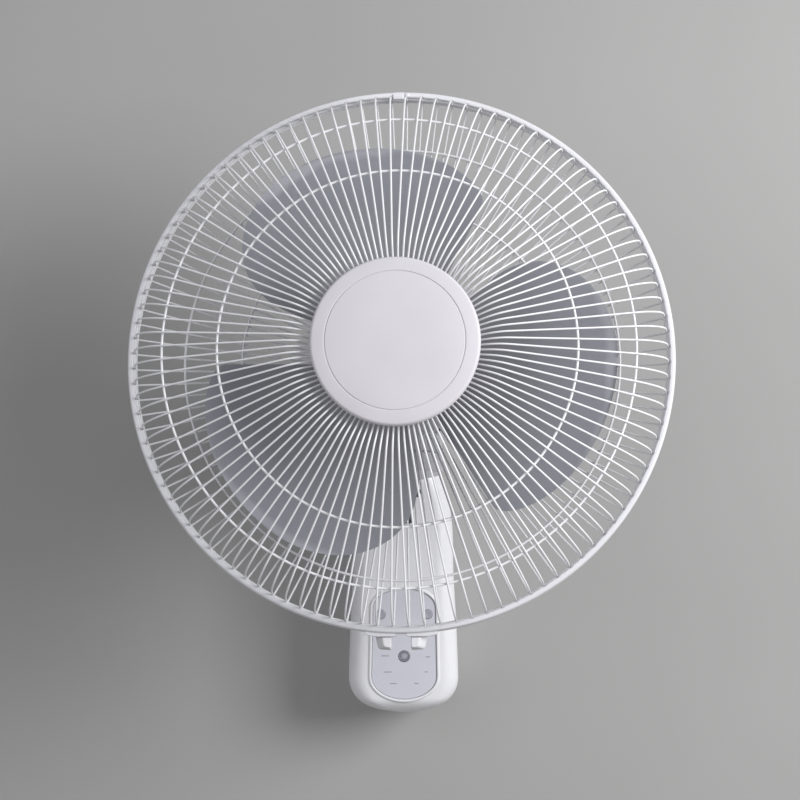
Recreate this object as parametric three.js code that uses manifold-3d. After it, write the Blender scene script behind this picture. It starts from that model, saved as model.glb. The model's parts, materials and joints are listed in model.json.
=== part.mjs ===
// A wall mounted fan: a column on the wall with a control panel, a neck that tilts, and a head that
// swings, holding the motor, the three-blade impeller and the wire guard. Millimetres, +Z up.
// The wall is the plane y = 0, the fan blows towards -Y and +X is on the right of whoever faces it.
import * as THREE from "three";
import { mergeVertices } from "three/addons/utils/BufferGeometryUtils.js";
import Module from "manifold-3d";

const wasm = await Module();
wasm.setup();

// ---------------------------------------------------------------- driving dimensions

const GAP = 0.3; // running and seating clearance between neighbouring pieces
const WALL = 2.4; // moulded shells
const ROUND = 14; // sides of a small round piece
const BIG_ROUND = 28; // sides of a large one

// Pose in which the fan is modelled.
const TILT_UP = 7.8; // degrees, the head looks up
const SWING_LEFT = 4.3; // degrees, the head looks to the viewer's left

// Column: its back lies on the wall bracket.
const BRACKET_T = 2;
const HOOK_X = 24; // the column hangs on four hooks of the bracket
const HOOK_Z = [52, -58];
const COLUMN_BACK = 2.4;
const COLUMN_DEPTH = 80;
const COLUMN_BOTTOM = -124;
const COLUMN_HALF = 48;
const COLUMN_ROUND = 16; // radius of its front corners
const PARTING = 38; // depth at which the back shell meets the front cover

// Tilt pivot at the top of the column.
const PIVOT_DEPTH = 60;
const PIVOT_HEIGHT = 88;
const DRUM_R = 21.5;
const DRUM_HALF = 12;
const BOLT_R = 4;
const CHEEK_R = 12;
const CHEEK_T = 2.5;
const WASHER_T = 0.8;

// Neck arm and swing pivot.
const ARM_REACH = 91; // pivot to swing axis, along the neck
const AXIS_RISE = 66.7; // tilt pivot to fan axis, square to the neck
const ARM_UNDER = 13.3; // underside of the arm, below the pivot
const CUP_R = 30;
const TURNTABLE_R = 26;
const POST_R = 5;
const CRANK_THROW = 9.5;
const ANCHOR_R = 14; // swing axis to the anchor pin
const PIN_R = 1.8;
const SWING_RATIO = 1.5; // crank turn for each turn of the head
const DRIVE_R = 17; // drive motor of the swing
const TAIL_R = DRIVE_R + 5; // rounded tail of the tray below it
const TAIL_SPARE = 5; // from the tail to the drum
const DRIVE_Y = ARM_REACH - DRUM_R - TAIL_SPARE - TAIL_R; // behind the swing axis

// Motor, on the fan axis.
const RIM_AHEAD = 105; // swing axis to the rim plane of the guard
const BELL_R = 44;
const BELL_T = 2;
const STATOR_OUT = BELL_R - BELL_T - GAP;
const STATOR_IN = 25;
const STATOR_LONG = 34;
const SHAFT_R = 4;
const COVER_R = 51;
const COVER_END = DRIVE_Y + TAIL_R + 9.5; // rear end of the motor cover, behind the swing axis
const MOTOR_FACE = 42.4; // front face of the motor, ahead of the swing axis
const COLLAR_R = 24;
const COVER_SCREW_R = 1.6;
const COVER_SCREW_AT = 26; // above and below the fan axis

// Guard: radius and height ahead of the rim plane.
const WIRES = 108;
const HOOP_SIDES = WIRES / 2; // each flat of a hoop takes two wires
const PLATE_SIDES = WIRES / 4; // and each flat of a hub plate four
const RING_SIDES = 36;
const WIRE_R = 1.1;
const RING_R = 1.25;
const RIM_R = 215.3;
const RIM_WALL = 1.3;
const RIM_WIRE_OUT = RIM_R - RIM_WALL - 0.5;
const RIM_WIRE_IN = RIM_WIRE_OUT - 4;
const REAR_BEND = RIM_R - 42.3; // radius where the rear wires turn down to the hub
const FRONT_WIRE = [
  [58, 63.6], [78, 74], [RIM_R - 24.3, 35.9], [RIM_R - 7.7, 21.5], [RIM_WIRE_OUT - 2, 1],
];
const REAR_WIRE = [[RIM_WIRE_OUT - 2.5, -6.3], [REAR_BEND, -22.2], [53, -61]];
const FRONT_RINGS = [RIM_R - 78.3, RIM_R - 33.3];
const REAR_RINGS = [RIM_R - 86.3, REAR_BEND];
const REAR_SLOPE = 0.42; // of the rear wires, at their steepest
const HUB_PLATE_R = 60;
const HUB_PLATE_T = 3.6;
const BADGE_R = 67;
const BADGE_FRONT = 80;

// Impeller.
const BLADES = 3;
const BLADE_AT = 108; // middle of the first blade, in degrees from +X
const BLADE_R = 166;
const BLADE_T = 2;
const HUB_R = 36;
const HUB_BACK = 40; // behind the rim plane
const HUB_SIDES = 24;
const DRIVE_PIN_AT = HUB_BACK - 1; // the pin lies in a groove across the back of the hub

// Control panel on the front of the column.
const PANEL_HALF = 28.2;
const PANEL_NARROW = 27; // half width where its top arch starts
const PANEL_ARCH = 16.3;
const PANEL_BOWL = 19.6;
const PANEL_TOP = -15;
const PANEL_BOTTOM = -110.5;
const PANEL_LEDGE = 1.2;
const BEAD_W = 3;
const BEAD_RISE = 1.4;
const BUTTON_R = 4;
const BUTTON_X = 20.4;
const BUTTON_Z = -37;
const BUTTON_TRAVEL = 0.8;
const EYE_R = 4.9;
const EYE_Z = -73.4;

// Latch under the guard rim.
const LATCH_GAP = 8;
const LATCH_LONG = 24;
const TAB_TRAVEL = 2;

// ---------------------------------------------------------------- materials

const paint = (color, roughness, metalness = 0, extra = {}) =>
  new THREE.MeshStandardMaterial({ color, roughness, metalness, ...extra });

const WHITE = paint(0xe9e8ea, 0.35);
const WIRE_WHITE = paint(0xf1f0f2, 0.4, 0.1);
const BADGE_WHITE = paint(0xe4e2e8, 0.5);
const BLADE_GREY = paint(0x85868f, 0.4, 0, { transparent: true, opacity: 0.85 });
const PANEL_LILAC = paint(0xc4c4cf, 0.45);
const BUTTON_GREY = paint(0x9c9ca8, 0.5);
const EYE_GREY = paint(0x6f6f78, 0.25);
const STEEL = paint(0xb4b6b8, 0.35, 0.9);
const ZINC = paint(0x9fa2a4, 0.5, 0.8);
const LAMINATION = paint(0x5a5c60, 0.6, 0.6);
const COPPER = paint(0xb5683a, 0.4, 0.7);
const BOARD_GREEN = paint(0x2f6b4a, 0.6);
const RUBBER = paint(0xd6d5d8, 0.8);
const BRASS = paint(0xb99a58, 0.4, 0.8);
const BLACK = paint(0x2b2b2e, 0.6);

// ---------------------------------------------------------------- solids

const rad = THREE.MathUtils.degToRad;

// The geometry as a solid with its faces out.
function solid(geometry) {
  const bare = geometry.index ? geometry.toNonIndexed() : geometry.clone();
  bare.deleteAttribute("normal");
  bare.deleteAttribute("uv");
  const merged = mergeVertices(bare, 1e-4);
  const at = merged.attributes.position;
  const corners = merged.index.array;
  const [a, b, c] = [new THREE.Vector3(), new THREE.Vector3(), new THREE.Vector3()];
  const kept = [];
  let volume = 0;
  for (let i = 0; i < corners.length; i += 3) {
    const [p, q, r] = corners.slice(i, i + 3);
    if (p === q || q === r || r === p) continue;
    kept.push([p, q, r]);
    volume += a.fromBufferAttribute(at, p)
      .dot(b.fromBufferAttribute(at, q).cross(c.fromBufferAttribute(at, r)));
  }
  const outward = kept.map(([p, q, r]) => (volume < 0 ? [p, r, q] : [p, q, r]));
  const triVerts = new Uint32Array(outward.flat());
  return new wasm.Manifold(
    new wasm.Mesh({ numProp: 3, vertProperties: new Float32Array(at.array), triVerts }),
  );
}

const join = (...bodies) => bodies.reduce((all, next) => all.add(next));
const cut = (body, ...tools) => tools.reduce((left, tool) => left.subtract(tool), body);

function box(x0, x1, y0, y1, z0, z1) {
  const middle = [(x0 + x1) / 2, (y0 + y1) / 2, (z0 + z1) / 2];
  return solid(new THREE.BoxGeometry(x1 - x0, y1 - y0, z1 - z0).translate(...middle));
}

// A cylinder along "x", "y" or "z" from one place to another; across holds its other two places.
function rod(axis, radius, from, to, across = [0, 0], sides = ROUND) {
  const g = new THREE.CylinderGeometry(radius, radius, Math.abs(to - from), sides);
  const middle = (from + to) / 2;
  const [p, q] = across;
  if (axis === "x") return solid(g.rotateZ(Math.PI / 2).translate(middle, p, q));
  if (axis === "y") return solid(g.translate(p, middle, q));
  return solid(g.rotateX(Math.PI / 2).translate(p, q, middle));
}

// A turned body about Y: points are [radius, height ahead], and ahead is -Y.
function turned(points, sides = ROUND) {
  const loop = points.map(([r, ahead]) => new THREE.Vector2(r, -ahead));
  if (points[0][0] > 0) loop.push(loop[0].clone());
  return solid(new THREE.LatheGeometry(loop, sides));
}

const tube = (inner, outer, from, to, sides = ROUND) =>
  turned([[inner, from], [outer, from], [outer, to], [inner, to]], sides);

// A flat outline in X and Z, extruded from one depth to another.
function slab(shape, depthFrom, depthTo, curveSegments = 6) {
  const g = new THREE.ExtrudeGeometry(shape, {
    depth: depthTo - depthFrom,
    bevelEnabled: false,
    curveSegments,
  });
  return solid(g.rotateX(Math.PI / 2).translate(0, -depthFrom, 0));
}

// A flat outline in X and Y, extruded from one height to another.
function sheet(shape, from, to, curveSegments = 6) {
  const g = new THREE.ExtrudeGeometry(shape, {
    depth: to - from,
    bevelEnabled: false,
    curveSegments,
  });
  return solid(g.translate(0, 0, from));
}

// A closed skin through rings of points, with a flat cap on each end.
function loft(rings) {
  const n = rings[0].length;
  const at = rings.flat().flatMap((p) => [p.x, p.y, p.z]);
  const faces = [];
  for (let i = 0; i + 1 < rings.length; i++)
    for (let j = 0; j < n; j++) {
      const k = (j + 1) % n;
      faces.push(i * n + j, i * n + k, (i + 1) * n + j);
      faces.push(i * n + k, (i + 1) * n + k, (i + 1) * n + j);
    }
  const last = (rings.length - 1) * n;
  for (let j = 1; j + 1 < n; j++) faces.push(0, j + 1, j, last, last + j, last + j + 1);
  const g = new THREE.BufferGeometry();
  g.setAttribute("position", new THREE.Float32BufferAttribute(at, 3));
  g.setIndex(faces);
  return solid(g);
}

function piece(parent, name, body, material) {
  const { vertProperties, triVerts } = body.getMesh();
  const g = new THREE.BufferGeometry();
  g.setAttribute("position", new THREE.BufferAttribute(vertProperties, 3));
  g.setIndex(new THREE.BufferAttribute(triVerts, 1));
  g.computeVertexNormals();
  const mesh = new THREE.Mesh(g, material);
  mesh.name = name;
  parent.add(mesh);
}

// Reads a table of [place, value] rows at any place, in straight steps.
function along(rows, place) {
  const next = rows.findIndex(([p]) => p >= place);
  if (next === 0) return rows[0][1];
  if (next < 0) return rows[rows.length - 1][1];
  const [[p0, v0], [p1, v1]] = [rows[next - 1], rows[next]];
  return v0 + ((v1 - v0) * (place - p0)) / (p1 - p0);
}

// ---------------------------------------------------------------- groups

const fan = new THREE.Group();

const neck = new THREE.Group(); // its origin is the tilt pivot
neck.position.set(0, -PIVOT_DEPTH, PIVOT_HEIGHT);
neck.rotation.x = -rad(TILT_UP);
fan.add(neck);

const head = new THREE.Group(); // its origin is where the swing axis meets the fan axis
head.position.set(0, -ARM_REACH, AXIS_RISE);
head.rotation.z = -rad(SWING_LEFT);
neck.add(head);

const guard = new THREE.Group(); // its origin is the middle of the rim
guard.position.y = -RIM_AHEAD;
head.add(guard);

// ---------------------------------------------------------------- column

// Half width and front depth of the column at each height.
const TOP = PIVOT_HEIGHT + DRUM_R - 1.5;
const FOOT_ROUND = 31;
const columnHalf = [
  [COLUMN_BOTTOM + FOOT_ROUND, COLUMN_HALF],
  [-4, COLUMN_HALF - 4.1],
  [TOP - 65, COLUMN_HALF - 5.2],
  [TOP - 43, COLUMN_HALF - 9.5],
  [TOP - 29, COLUMN_HALF - 14],
  [TOP - 17, COLUMN_HALF - 20],
  [TOP - 8, COLUMN_HALF - 27],
  [TOP - 3, COLUMN_HALF - 34],
  [TOP, COLUMN_HALF - 41],
];

function halfAt(z) {
  const up = Math.min(1, (z - COLUMN_BOTTOM) / FOOT_ROUND);
  if (up < 1) return 8 + (COLUMN_HALF - 8) * Math.pow(1 - Math.pow(1 - up, 2.1), 1 / 2.1);
  return along(columnHalf, z);
}

function frontAt(z) {
  const foot = Math.max(0, 1 - (z - COLUMN_BOTTOM) / 14);
  const head = Math.max(0, (z - PIVOT_HEIGHT) / (TOP - PIVOT_HEIGHT));
  const lean = Math.max(0, Math.min(1, (z - 40) / 40)) * 2;
  return COLUMN_DEPTH + lean - 14 * foot * foot - 17 * (1 - Math.sqrt(1 - head * head));
}

const columnLevels = [
  ...[0, 2, 6, 13, FOOT_ROUND].map((up) => COLUMN_BOTTOM + up),
  -4, TOP - 65, TOP - 43, TOP - 29, TOP - 17, TOP - 8, TOP - 3, TOP,
];

// The column as a stack of level sections with rounded front corners, drawn in by inset all over.
function columnBody(inset) {
  const rings = columnLevels.map((level) => {
    const z = THREE.MathUtils.clamp(level, COLUMN_BOTTOM + inset, TOP - inset);
    const half = Math.max(halfAt(z) - inset, 3);
    const front = frontAt(z) - inset;
    const corner = Math.min(COLUMN_ROUND - inset, half - 0.5);
    const side = [];
    for (let k = 0; k <= 3; k++) {
      const turn = rad(30 * k);
      side.push([half - corner * (1 - Math.cos(turn)), front - corner * (1 - Math.sin(turn))]);
    }
    const right = [[half, COLUMN_BACK + inset], ...side];
    const left = right.map(([x, depth]) => [-x, depth]).reverse();
    return [...right, ...left].map(([x, depth]) => new THREE.Vector3(x, -depth, z));
  });
  return loft(rings.filter((ring, i) => i === 0 || ring[0].z - rings[i - 1][0].z > 1e-3));
}

// Outline of the control panel, with the whole edge moved out by grow.
function panelShape(grow) {
  const [upper, lower] = [PANEL_NARROW + grow, PANEL_HALF + grow];
  const [arch, bowl] = [PANEL_ARCH + grow, PANEL_BOWL + grow];
  const [archAt, bowlAt] = [PANEL_TOP - PANEL_ARCH, PANEL_BOTTOM + PANEL_BOWL];
  const shape = new THREE.Shape();
  shape.moveTo(upper, archAt);
  shape.absellipse(0, archAt, upper, arch, 0, Math.PI);
  shape.lineTo(-lower, bowlAt);
  shape.absellipse(0, bowlAt, lower, bowl, Math.PI, 2 * Math.PI);
  shape.closePath();
  return shape;
}

const HOLE_X = 3.4; // screw hole in the front of the column
const HOLE_Z = 46;
const SCREW_HEAD_R = 4.3;
const SCREW_R = 1.5;
const HOLE_DEEP = 13;
const BOLT_HALF = DRUM_HALF + WASHER_T + CHEEK_T + 5;
const GLAND_R = 5.4;
const CORD_HOLE_R = 3.7;
const GLAND_DEPTH = 20;
const PAD = 0.5; // how far a cutter passes a face
const SLOT_SPARE = 1; // below the drum, for the arm at its lowest

function makeFrontCover() {
  const behind = box(-100, 100, -PARTING, 10, -200, 200);
  const shell = cut(columnBody(0), columnBody(WALL), behind);
  const bead = cut(
    slab(panelShape(BEAD_W), COLUMN_DEPTH - 1, COLUMN_DEPTH + BEAD_RISE),
    slab(panelShape(GAP), COLUMN_DEPTH - 2, COLUMN_DEPTH + BEAD_RISE + PAD),
  );
  const boss = rod("y", SCREW_HEAD_R + WALL, -COLUMN_DEPTH + 1, -COLUMN_DEPTH + HOLE_DEEP + WALL,
    [HOLE_X, HOLE_Z]);
  const seat = COLUMN_DEPTH - WALL;
  const reach = DRUM_R + GAP;
  const slotHalf = DRUM_HALF + 0.5;
  const slotLow = PIVOT_HEIGHT - reach - SLOT_SPARE;
  const openings = [
    slab(panelShape(GAP), seat + 0.8, COLUMN_DEPTH + 5),
    slab(panelShape(-PANEL_LEDGE), seat - 5, COLUMN_DEPTH),
    rod("y", SCREW_HEAD_R + GAP, -COLUMN_DEPTH - 5, -COLUMN_DEPTH + HOLE_DEEP, [HOLE_X, HOLE_Z]),
    rod("y", SCREW_R + GAP, -COLUMN_DEPTH, -COLUMN_DEPTH + HOLE_DEEP + 5, [HOLE_X, HOLE_Z]),
    rod("x", reach, -slotHalf, slotHalf, [-PIVOT_DEPTH, PIVOT_HEIGHT], BIG_ROUND),
    box(-slotHalf, slotHalf, -COLUMN_DEPTH - 9, -PIVOT_DEPTH - 12, slotLow, TOP + 9),
    box(-slotHalf, slotHalf, -COLUMN_DEPTH - 9, -PIVOT_DEPTH, PIVOT_HEIGHT - reach, TOP + 9),
    box(12.4, 15.8, -COLUMN_DEPTH - 9, -seat + 3, 68.2, 71.6),
  ];
  return cut(join(shell, bead, boss), ...openings);
}

function makeBackShell() {
  const ahead = box(-100, 100, -200, -PARTING + GAP, -200, 200);
  const shell = cut(columnBody(0), columnBody(WALL), ahead);
  const slots = HOOK_Z.flatMap((z) =>
    [-1, 1].map((s) => box(s * HOOK_X - 6, s * HOOK_X + 6, -9, 0, z - 2, z + 5)));
  const inlet = rod("z", GLAND_R + GAP, COLUMN_BOTTOM - 5, COLUMN_BOTTOM + 9, [0, -GLAND_DEPTH]);
  return cut(shell, ...slots, inlet);
}

// Steel yoke that carries the tilt bolt.
function makeYoke() {
  const inner = DRUM_HALF + WASHER_T + GAP;
  const outer = inner + CHEEK_T;
  const back = COLUMN_BACK + WALL + GAP;
  const cheeks = [-1, 1].map((s) => {
    const [x0, x1] = s > 0 ? [inner, outer] : [-outer, -inner];
    const disc = rod("x", CHEEK_R, x0, x1, [-PIVOT_DEPTH, PIVOT_HEIGHT]);
    const leg = box(x0, x1, -PIVOT_DEPTH - 12, -back, 34, PIVOT_HEIGHT - 4);
    return join(disc, leg);
  });
  const web = box(-outer, outer, -back - CHEEK_T, -back, 12, PIVOT_HEIGHT - 8);
  const bridgeAt = COLUMN_DEPTH - HOLE_DEEP - WALL - GAP;
  const bridge = box(-outer, outer, -bridgeAt, -bridgeAt + CHEEK_T, 36, 54);
  const bore = rod("x", BOLT_R + GAP, -40, 40, [-PIVOT_DEPTH, PIVOT_HEIGHT]);
  const thread = rod("y", SCREW_R + GAP, -bridgeAt - 5, -bridgeAt + 9, [HOLE_X, HOLE_Z]);
  return cut(join(...cheeks, web, bridge), bore, thread);
}

function makeWallBracket() {
  const [half, top] = [30, 72];
  const plate = box(-half, half, -BRACKET_T, 0, -top, top);
  const hooks = HOOK_Z.flatMap((z) =>
    [-1, 1].map((s) => {
      const [x0, x1] = [s * HOOK_X - 5, s * HOOK_X + 5];
      const tongue = box(x0, x1, -COLUMN_BACK - WALL - 2, -1, z - 1.5, z + 0.5);
      const lip = [-COLUMN_BACK - WALL - 2, -COLUMN_BACK - WALL - GAP];
      return join(tongue, box(x0, x1, ...lip, z - 1.5, z + 4));
    }));
  const holes = [top - 10, -top + 10].flatMap((z) =>
    [-1, 1].map((s) => rod("y", 2.6, -9, 9, [s * 10, z])));
  return cut(join(plate, ...hooks), ...holes);
}

function makeColumn() {
  piece(fan, "wall_bracket", makeWallBracket(), ZINC);
  piece(fan, "back_shell", makeBackShell(), WHITE);
  piece(fan, "front_cover", makeFrontCover(), WHITE);
  piece(fan, "tilt_yoke", makeYoke(), STEEL);

  const headTop = COLUMN_DEPTH - HOLE_DEEP + GAP;
  const screw = join(
    rod("y", SCREW_HEAD_R, -headTop - 2, -headTop, [HOLE_X, HOLE_Z]),
    rod("y", SCREW_R, -headTop, -headTop + 18, [HOLE_X, HOLE_Z]),
  );
  const cross = [
    box(HOLE_X - 2.2, HOLE_X + 2.2, -headTop - 3, -headTop - 1, HOLE_Z - 0.4, HOLE_Z + 0.4),
    box(HOLE_X - 0.4, HOLE_X + 0.4, -headTop - 3, -headTop - 1, HOLE_Z - 2.2, HOLE_Z + 2.2),
  ];
  piece(fan, "column_screw", cut(screw, ...cross), STEEL);

  const gland = cut(
    join(
      rod("z", GLAND_R, COLUMN_BOTTOM, COLUMN_BOTTOM + WALL + 3, [0, -GLAND_DEPTH]),
      rod("z", GLAND_R + 2, COLUMN_BOTTOM + WALL + GAP, COLUMN_BOTTOM + WALL + 3,
        [0, -GLAND_DEPTH]),
    ),
    rod("z", CORD_HOLE_R, COLUMN_BOTTOM - 5, COLUMN_BOTTOM + 20, [0, -GLAND_DEPTH]),
  );
  piece(fan, "cord_gland", gland, RUBBER);
}

// ---------------------------------------------------------------- control panel

const PANEL_T = 1.6;
const PANEL_FRONT = COLUMN_DEPTH + 0.2;
const PANEL_BACK = PANEL_FRONT - PANEL_T;
const BUTTON_PROUD = 0.9;
const BOARD_FRONT = PANEL_BACK - 5;

function makeControls() {
  const holes = [
    ...[-1, 1].map((s) => rod("y", BUTTON_R + GAP, -99, -9, [s * BUTTON_X, BUTTON_Z])),
    rod("y", EYE_R + GAP, -99, -9, [0, EYE_Z]),
  ];
  const posts = [-1, 1].flatMap((s) => [PANEL_TOP - 36, PANEL_BOTTOM + 22].map((z) =>
    rod("y", 2, -PANEL_BACK - 0.5, -BOARD_FRONT - GAP, [s * 19, z], 10)));
  const plate = cut(slab(panelShape(0), PANEL_BACK, PANEL_FRONT), ...holes);
  piece(fan, "panel_plate", join(plate, ...posts), PANEL_LILAC);

  const flangeFront = PANEL_BACK - GAP;
  const stem = BOARD_FRONT + BUTTON_TRAVEL + 1.2 + GAP;
  for (const [name, s] of [["button_left", -1], ["button_right", 1]]) {
    const at = [s * BUTTON_X, BUTTON_Z];
    const cap = rod("y", BUTTON_R, -PANEL_FRONT - BUTTON_PROUD, -stem, at);
    const flange = rod("y", BUTTON_R + 0.9, -flangeFront, -flangeFront + 1, at);
    piece(fan, name, join(cap, flange), BUTTON_GREY);
  }

  const eye = join(
    rod("y", EYE_R, -PANEL_FRONT - 0.5, -PANEL_BACK + 1, [0, EYE_Z]),
    rod("y", EYE_R + 1.5, -flangeFront, -flangeFront + 1.2, [0, EYE_Z]),
  );
  piece(fan, "receiver_window", eye, EYE_GREY);

  const board = box(-24, 24, -BOARD_FRONT, -BOARD_FRONT + 1.6, PANEL_BOTTOM + 8, PANEL_TOP - 6);
  const switches = [-1, 1].map((s) =>
    rod("y", 2.5, -BOARD_FRONT - 1.2, -BOARD_FRONT + 1, [s * BUTTON_X, BUTTON_Z], 16));
  const receiver = box(-2.5, 2.5, -BOARD_FRONT - 2.5, -BOARD_FRONT + 1, EYE_Z - 3, EYE_Z + 3);
  const chip = box(-8, 8, -BOARD_FRONT + 1, -BOARD_FRONT + 3.4, -60, -48);
  piece(fan, "control_board", join(board, ...switches, receiver, chip), BOARD_GREEN);

  const capacitor = box(-19, 19, -PARTING + 6, -COLUMN_BACK - WALL - GAP, -50, -26);
  piece(fan, "run_capacitor", capacitor, BLACK);
  const relays = box(-16, 16, -PARTING + 8, -COLUMN_BACK - WALL - 1.6, -92, -66);
  const carrier = box(-22, 22, -COLUMN_BACK - WALL - 1.9, -COLUMN_BACK - WALL - GAP, -98, -60);
  piece(fan, "power_board", join(relays, carrier), BOARD_GREEN);
}

// ---------------------------------------------------------------- neck

const CUP_TOP = 2.7; // top face of the cup, above the tilt pivot
const TABLE_TOP = CUP_TOP + 2;
const POST_SHOULDER_R = 6.1;
const BOSS_R = 9.5;

function makeNeck() {
  const drum = rod("x", DRUM_R, -DRUM_HALF, DRUM_HALF, [0, 0], BIG_ROUND);
  const arm = box(-DRUM_HALF, DRUM_HALF, -ARM_REACH, 0, -ARM_UNDER, CUP_TOP);
  const cup = rod("z", CUP_R, -ARM_UNDER, CUP_TOP, [0, -ARM_REACH], BIG_ROUND);
  const flare = new THREE.Shape();
  flare.moveTo(-DRUM_HALF, -DRUM_R - 12);
  flare.lineTo(DRUM_HALF, -DRUM_R - 12);
  flare.lineTo(CUP_R * 0.95, -ARM_REACH + CUP_R * 0.3);
  flare.lineTo(-CUP_R * 0.95, -ARM_REACH + CUP_R * 0.3);
  const wings = sheet(flare, -ARM_UNDER, CUP_TOP);
  const table = rod("z", TURNTABLE_R, CUP_TOP - 1, TABLE_TOP, [0, -ARM_REACH], BIG_ROUND);
  const bore = rod("x", BOLT_R + GAP, -30, 30);
  const socket = rod("z", POST_R + GAP, -6, 30, [0, -ARM_REACH]);
  const cable = rod("x", 2.5, -30, 30, [-13, 8], 12);
  return cut(join(drum, arm, cup, wings, table), bore, socket, cable);
}

const tableTop = TABLE_TOP - AXIS_RISE; // heights seen from the fan axis
const linkTop = tableTop + 4.8;
const linkUnder = tableTop + 2.5;
const bossUnder = linkTop + 0.6;
const plateUnder = -BELL_R - GAP - 4.7;
const plateTop = -BELL_R - GAP;

function makePivots() {
  piece(neck, "neck_arm", makeNeck(), WHITE);

  const boltHead = 3;
  const bolt = join(
    rod("x", BOLT_R, -BOLT_HALF + boltHead, BOLT_HALF),
    rod("x", BOLT_R + 2.5, -BOLT_HALF, -BOLT_HALF + boltHead, [0, 0], 6),
  );
  const pivot = new THREE.Group();
  pivot.position.copy(neck.position);
  fan.add(pivot);
  piece(pivot, "tilt_bolt", bolt, STEEL);
  const nutAt = DRUM_HALF + WASHER_T + CHEEK_T + 2 * GAP;
  const nut = cut(rod("x", BOLT_R + 3, nutAt, nutAt + 4, [0, 0], 6),
    rod("x", BOLT_R + GAP, 0, 40));
  piece(pivot, "tilt_nut", nut, STEEL);
  for (const [name, s] of [["friction_washer_left", -1], ["friction_washer_right", 1]]) {
    const face = s * (DRUM_HALF + GAP / 2);
    const washer = cut(rod("x", 11, face, face + s * WASHER_T),
      rod("x", BOLT_R + GAP, -40, 40));
    piece(pivot, name, washer, BRASS);
  }

  const post = new THREE.Group();
  post.position.set(0, -ARM_REACH, AXIS_RISE);
  neck.add(post);
  const shoulder = rod("z", POST_SHOULDER_R, tableTop + GAP, bossUnder - GAP);
  const stem = rod("z", POST_R, -6 - AXIS_RISE + GAP, plateTop - 1);
  piece(post, "swing_post", join(shoulder, stem), STEEL);
  const anchor = join(
    rod("z", PIN_R, tableTop + 1, linkTop + 0.4, [ANCHOR_R, 0], 10),
    rod("z", PIN_R + 1.8, tableTop + GAP, linkUnder - GAP, [ANCHOR_R, 0], 10),
  );
  piece(post, "anchor_pin", anchor, STEEL);
}

// ---------------------------------------------------------------- swing drive

const CRANK_R = 12;
const CRANK_X = ANCHOR_R - CRANK_THROW;
const SPINDLE_R = 2.5;
const LINK_HALF = 2.4;
const SLOT_PLAY = 2.4; // the open end of the link runs free of the anchor pin by this much

// Pear outline round the swing axis and the drive motor, drawn out by grow.
function pearShape(grow) {
  const [front, tail] = [CUP_R + grow, TAIL_R + grow];
  const shape = new THREE.Shape();
  shape.absarc(0, 0, front, Math.PI, 2 * Math.PI);
  shape.lineTo(tail, DRIVE_Y);
  shape.absarc(0, DRIVE_Y, tail, 0, Math.PI);
  shape.closePath();
  return shape;
}

const TRAY_WALL = 1.6;

function makeSwingDrive() {
  const bracket = cut(
    join(sheet(pearShape(-TRAY_WALL - 0.5), plateUnder, plateTop),
      rod("z", BOSS_R, bossUnder, plateTop)),
    rod("z", POST_R + GAP, -99, 0),
    rod("z", SPINDLE_R + GAP, -99, 0, [CRANK_X, DRIVE_Y]),
  );
  piece(head, "swing_bracket", bracket, ZINC);

  const driveLow = plateTop + GAP;
  const drive = cut(
    rod("z", DRIVE_R, driveLow, driveLow + 14, [0, DRIVE_Y], 20),
    rod("z", SPINDLE_R + GAP, driveLow - 5, driveLow + 5, [CRANK_X, DRIVE_Y]),
  );
  piece(head, "swing_motor", drive, STEEL);

  // The crank has turned with the head, and the link still lies along the head.
  const turn = SWING_RATIO * SWING_LEFT;
  const crank = new THREE.Group();
  crank.position.set(CRANK_X, DRIVE_Y, 0);
  crank.rotation.z = rad(turn);
  head.add(crank);
  const discTop = plateUnder - GAP;
  const discUnder = linkTop + GAP;
  const crankBody = join(
    rod("z", CRANK_R, discUnder, discTop, [0, 0], 20),
    rod("z", SPINDLE_R, discUnder, driveLow + 4),
    rod("z", PIN_R, linkUnder, discUnder + 1, [CRANK_THROW, 0], 10),
  );
  piece(crank, "swing_crank", crankBody, BRASS);

  const pinX = CRANK_X + CRANK_THROW * Math.cos(rad(turn));
  const pinY = DRIVE_Y + CRANK_THROW * Math.sin(rad(turn));
  const link = new THREE.Group();
  link.position.set(pinX, pinY, 0);
  head.add(link);
  const anchorAngle = rad(SWING_LEFT);
  const eyeX = ANCHOR_R * Math.cos(anchorAngle) - pinX;
  const eyeY = ANCHOR_R * Math.sin(anchorAngle) - pinY;
  const bar = cut(
    join(
      box(-LINK_HALF, LINK_HALF, eyeY, 0, linkUnder, linkTop),
      rod("z", LINK_HALF + 1.4, linkUnder, linkTop, [0, 0]),
      rod("z", PIN_R + SLOT_PLAY + 2, linkUnder, linkTop, [eyeX, eyeY]),
    ),
    rod("z", PIN_R + GAP, -99, 0, [0, 0], 10),
    rod("z", PIN_R + SLOT_PLAY, -99, 0, [eyeX, eyeY]),
  );
  piece(link, "swing_link", bar, STEEL);

  makeSwingTray();
}

// The tray that closes the swing drive from below.
function makeSwingTray() {
  const floor = CUP_TOP - AXIS_RISE + GAP;
  const ledge = plateUnder - GAP;
  const tray = cut(
    sheet(pearShape(0), floor, plateUnder + 0.5, 10),
    sheet(pearShape(-TRAY_WALL), ledge, 0, 10),
    sheet(pearShape(-2 * TRAY_WALL), floor + TRAY_WALL, 0, 10),
    rod("z", TURNTABLE_R + 0.6, floor - 5, 0, [0, 0], BIG_ROUND),
  );
  piece(head, "swing_tray", tray, WHITE);
}

// ---------------------------------------------------------------- motor

const STATOR_FRONT = 26; // ahead of the swing axis
const BELL_JOINT = 9;
const BELL_REAR = -24;
const BEARING_R = 9;
const SHAFT_FRONT = RIM_AHEAD + 8;
const SHAFT_REAR = -26;
const MOTOR_SIDES = 20;

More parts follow.
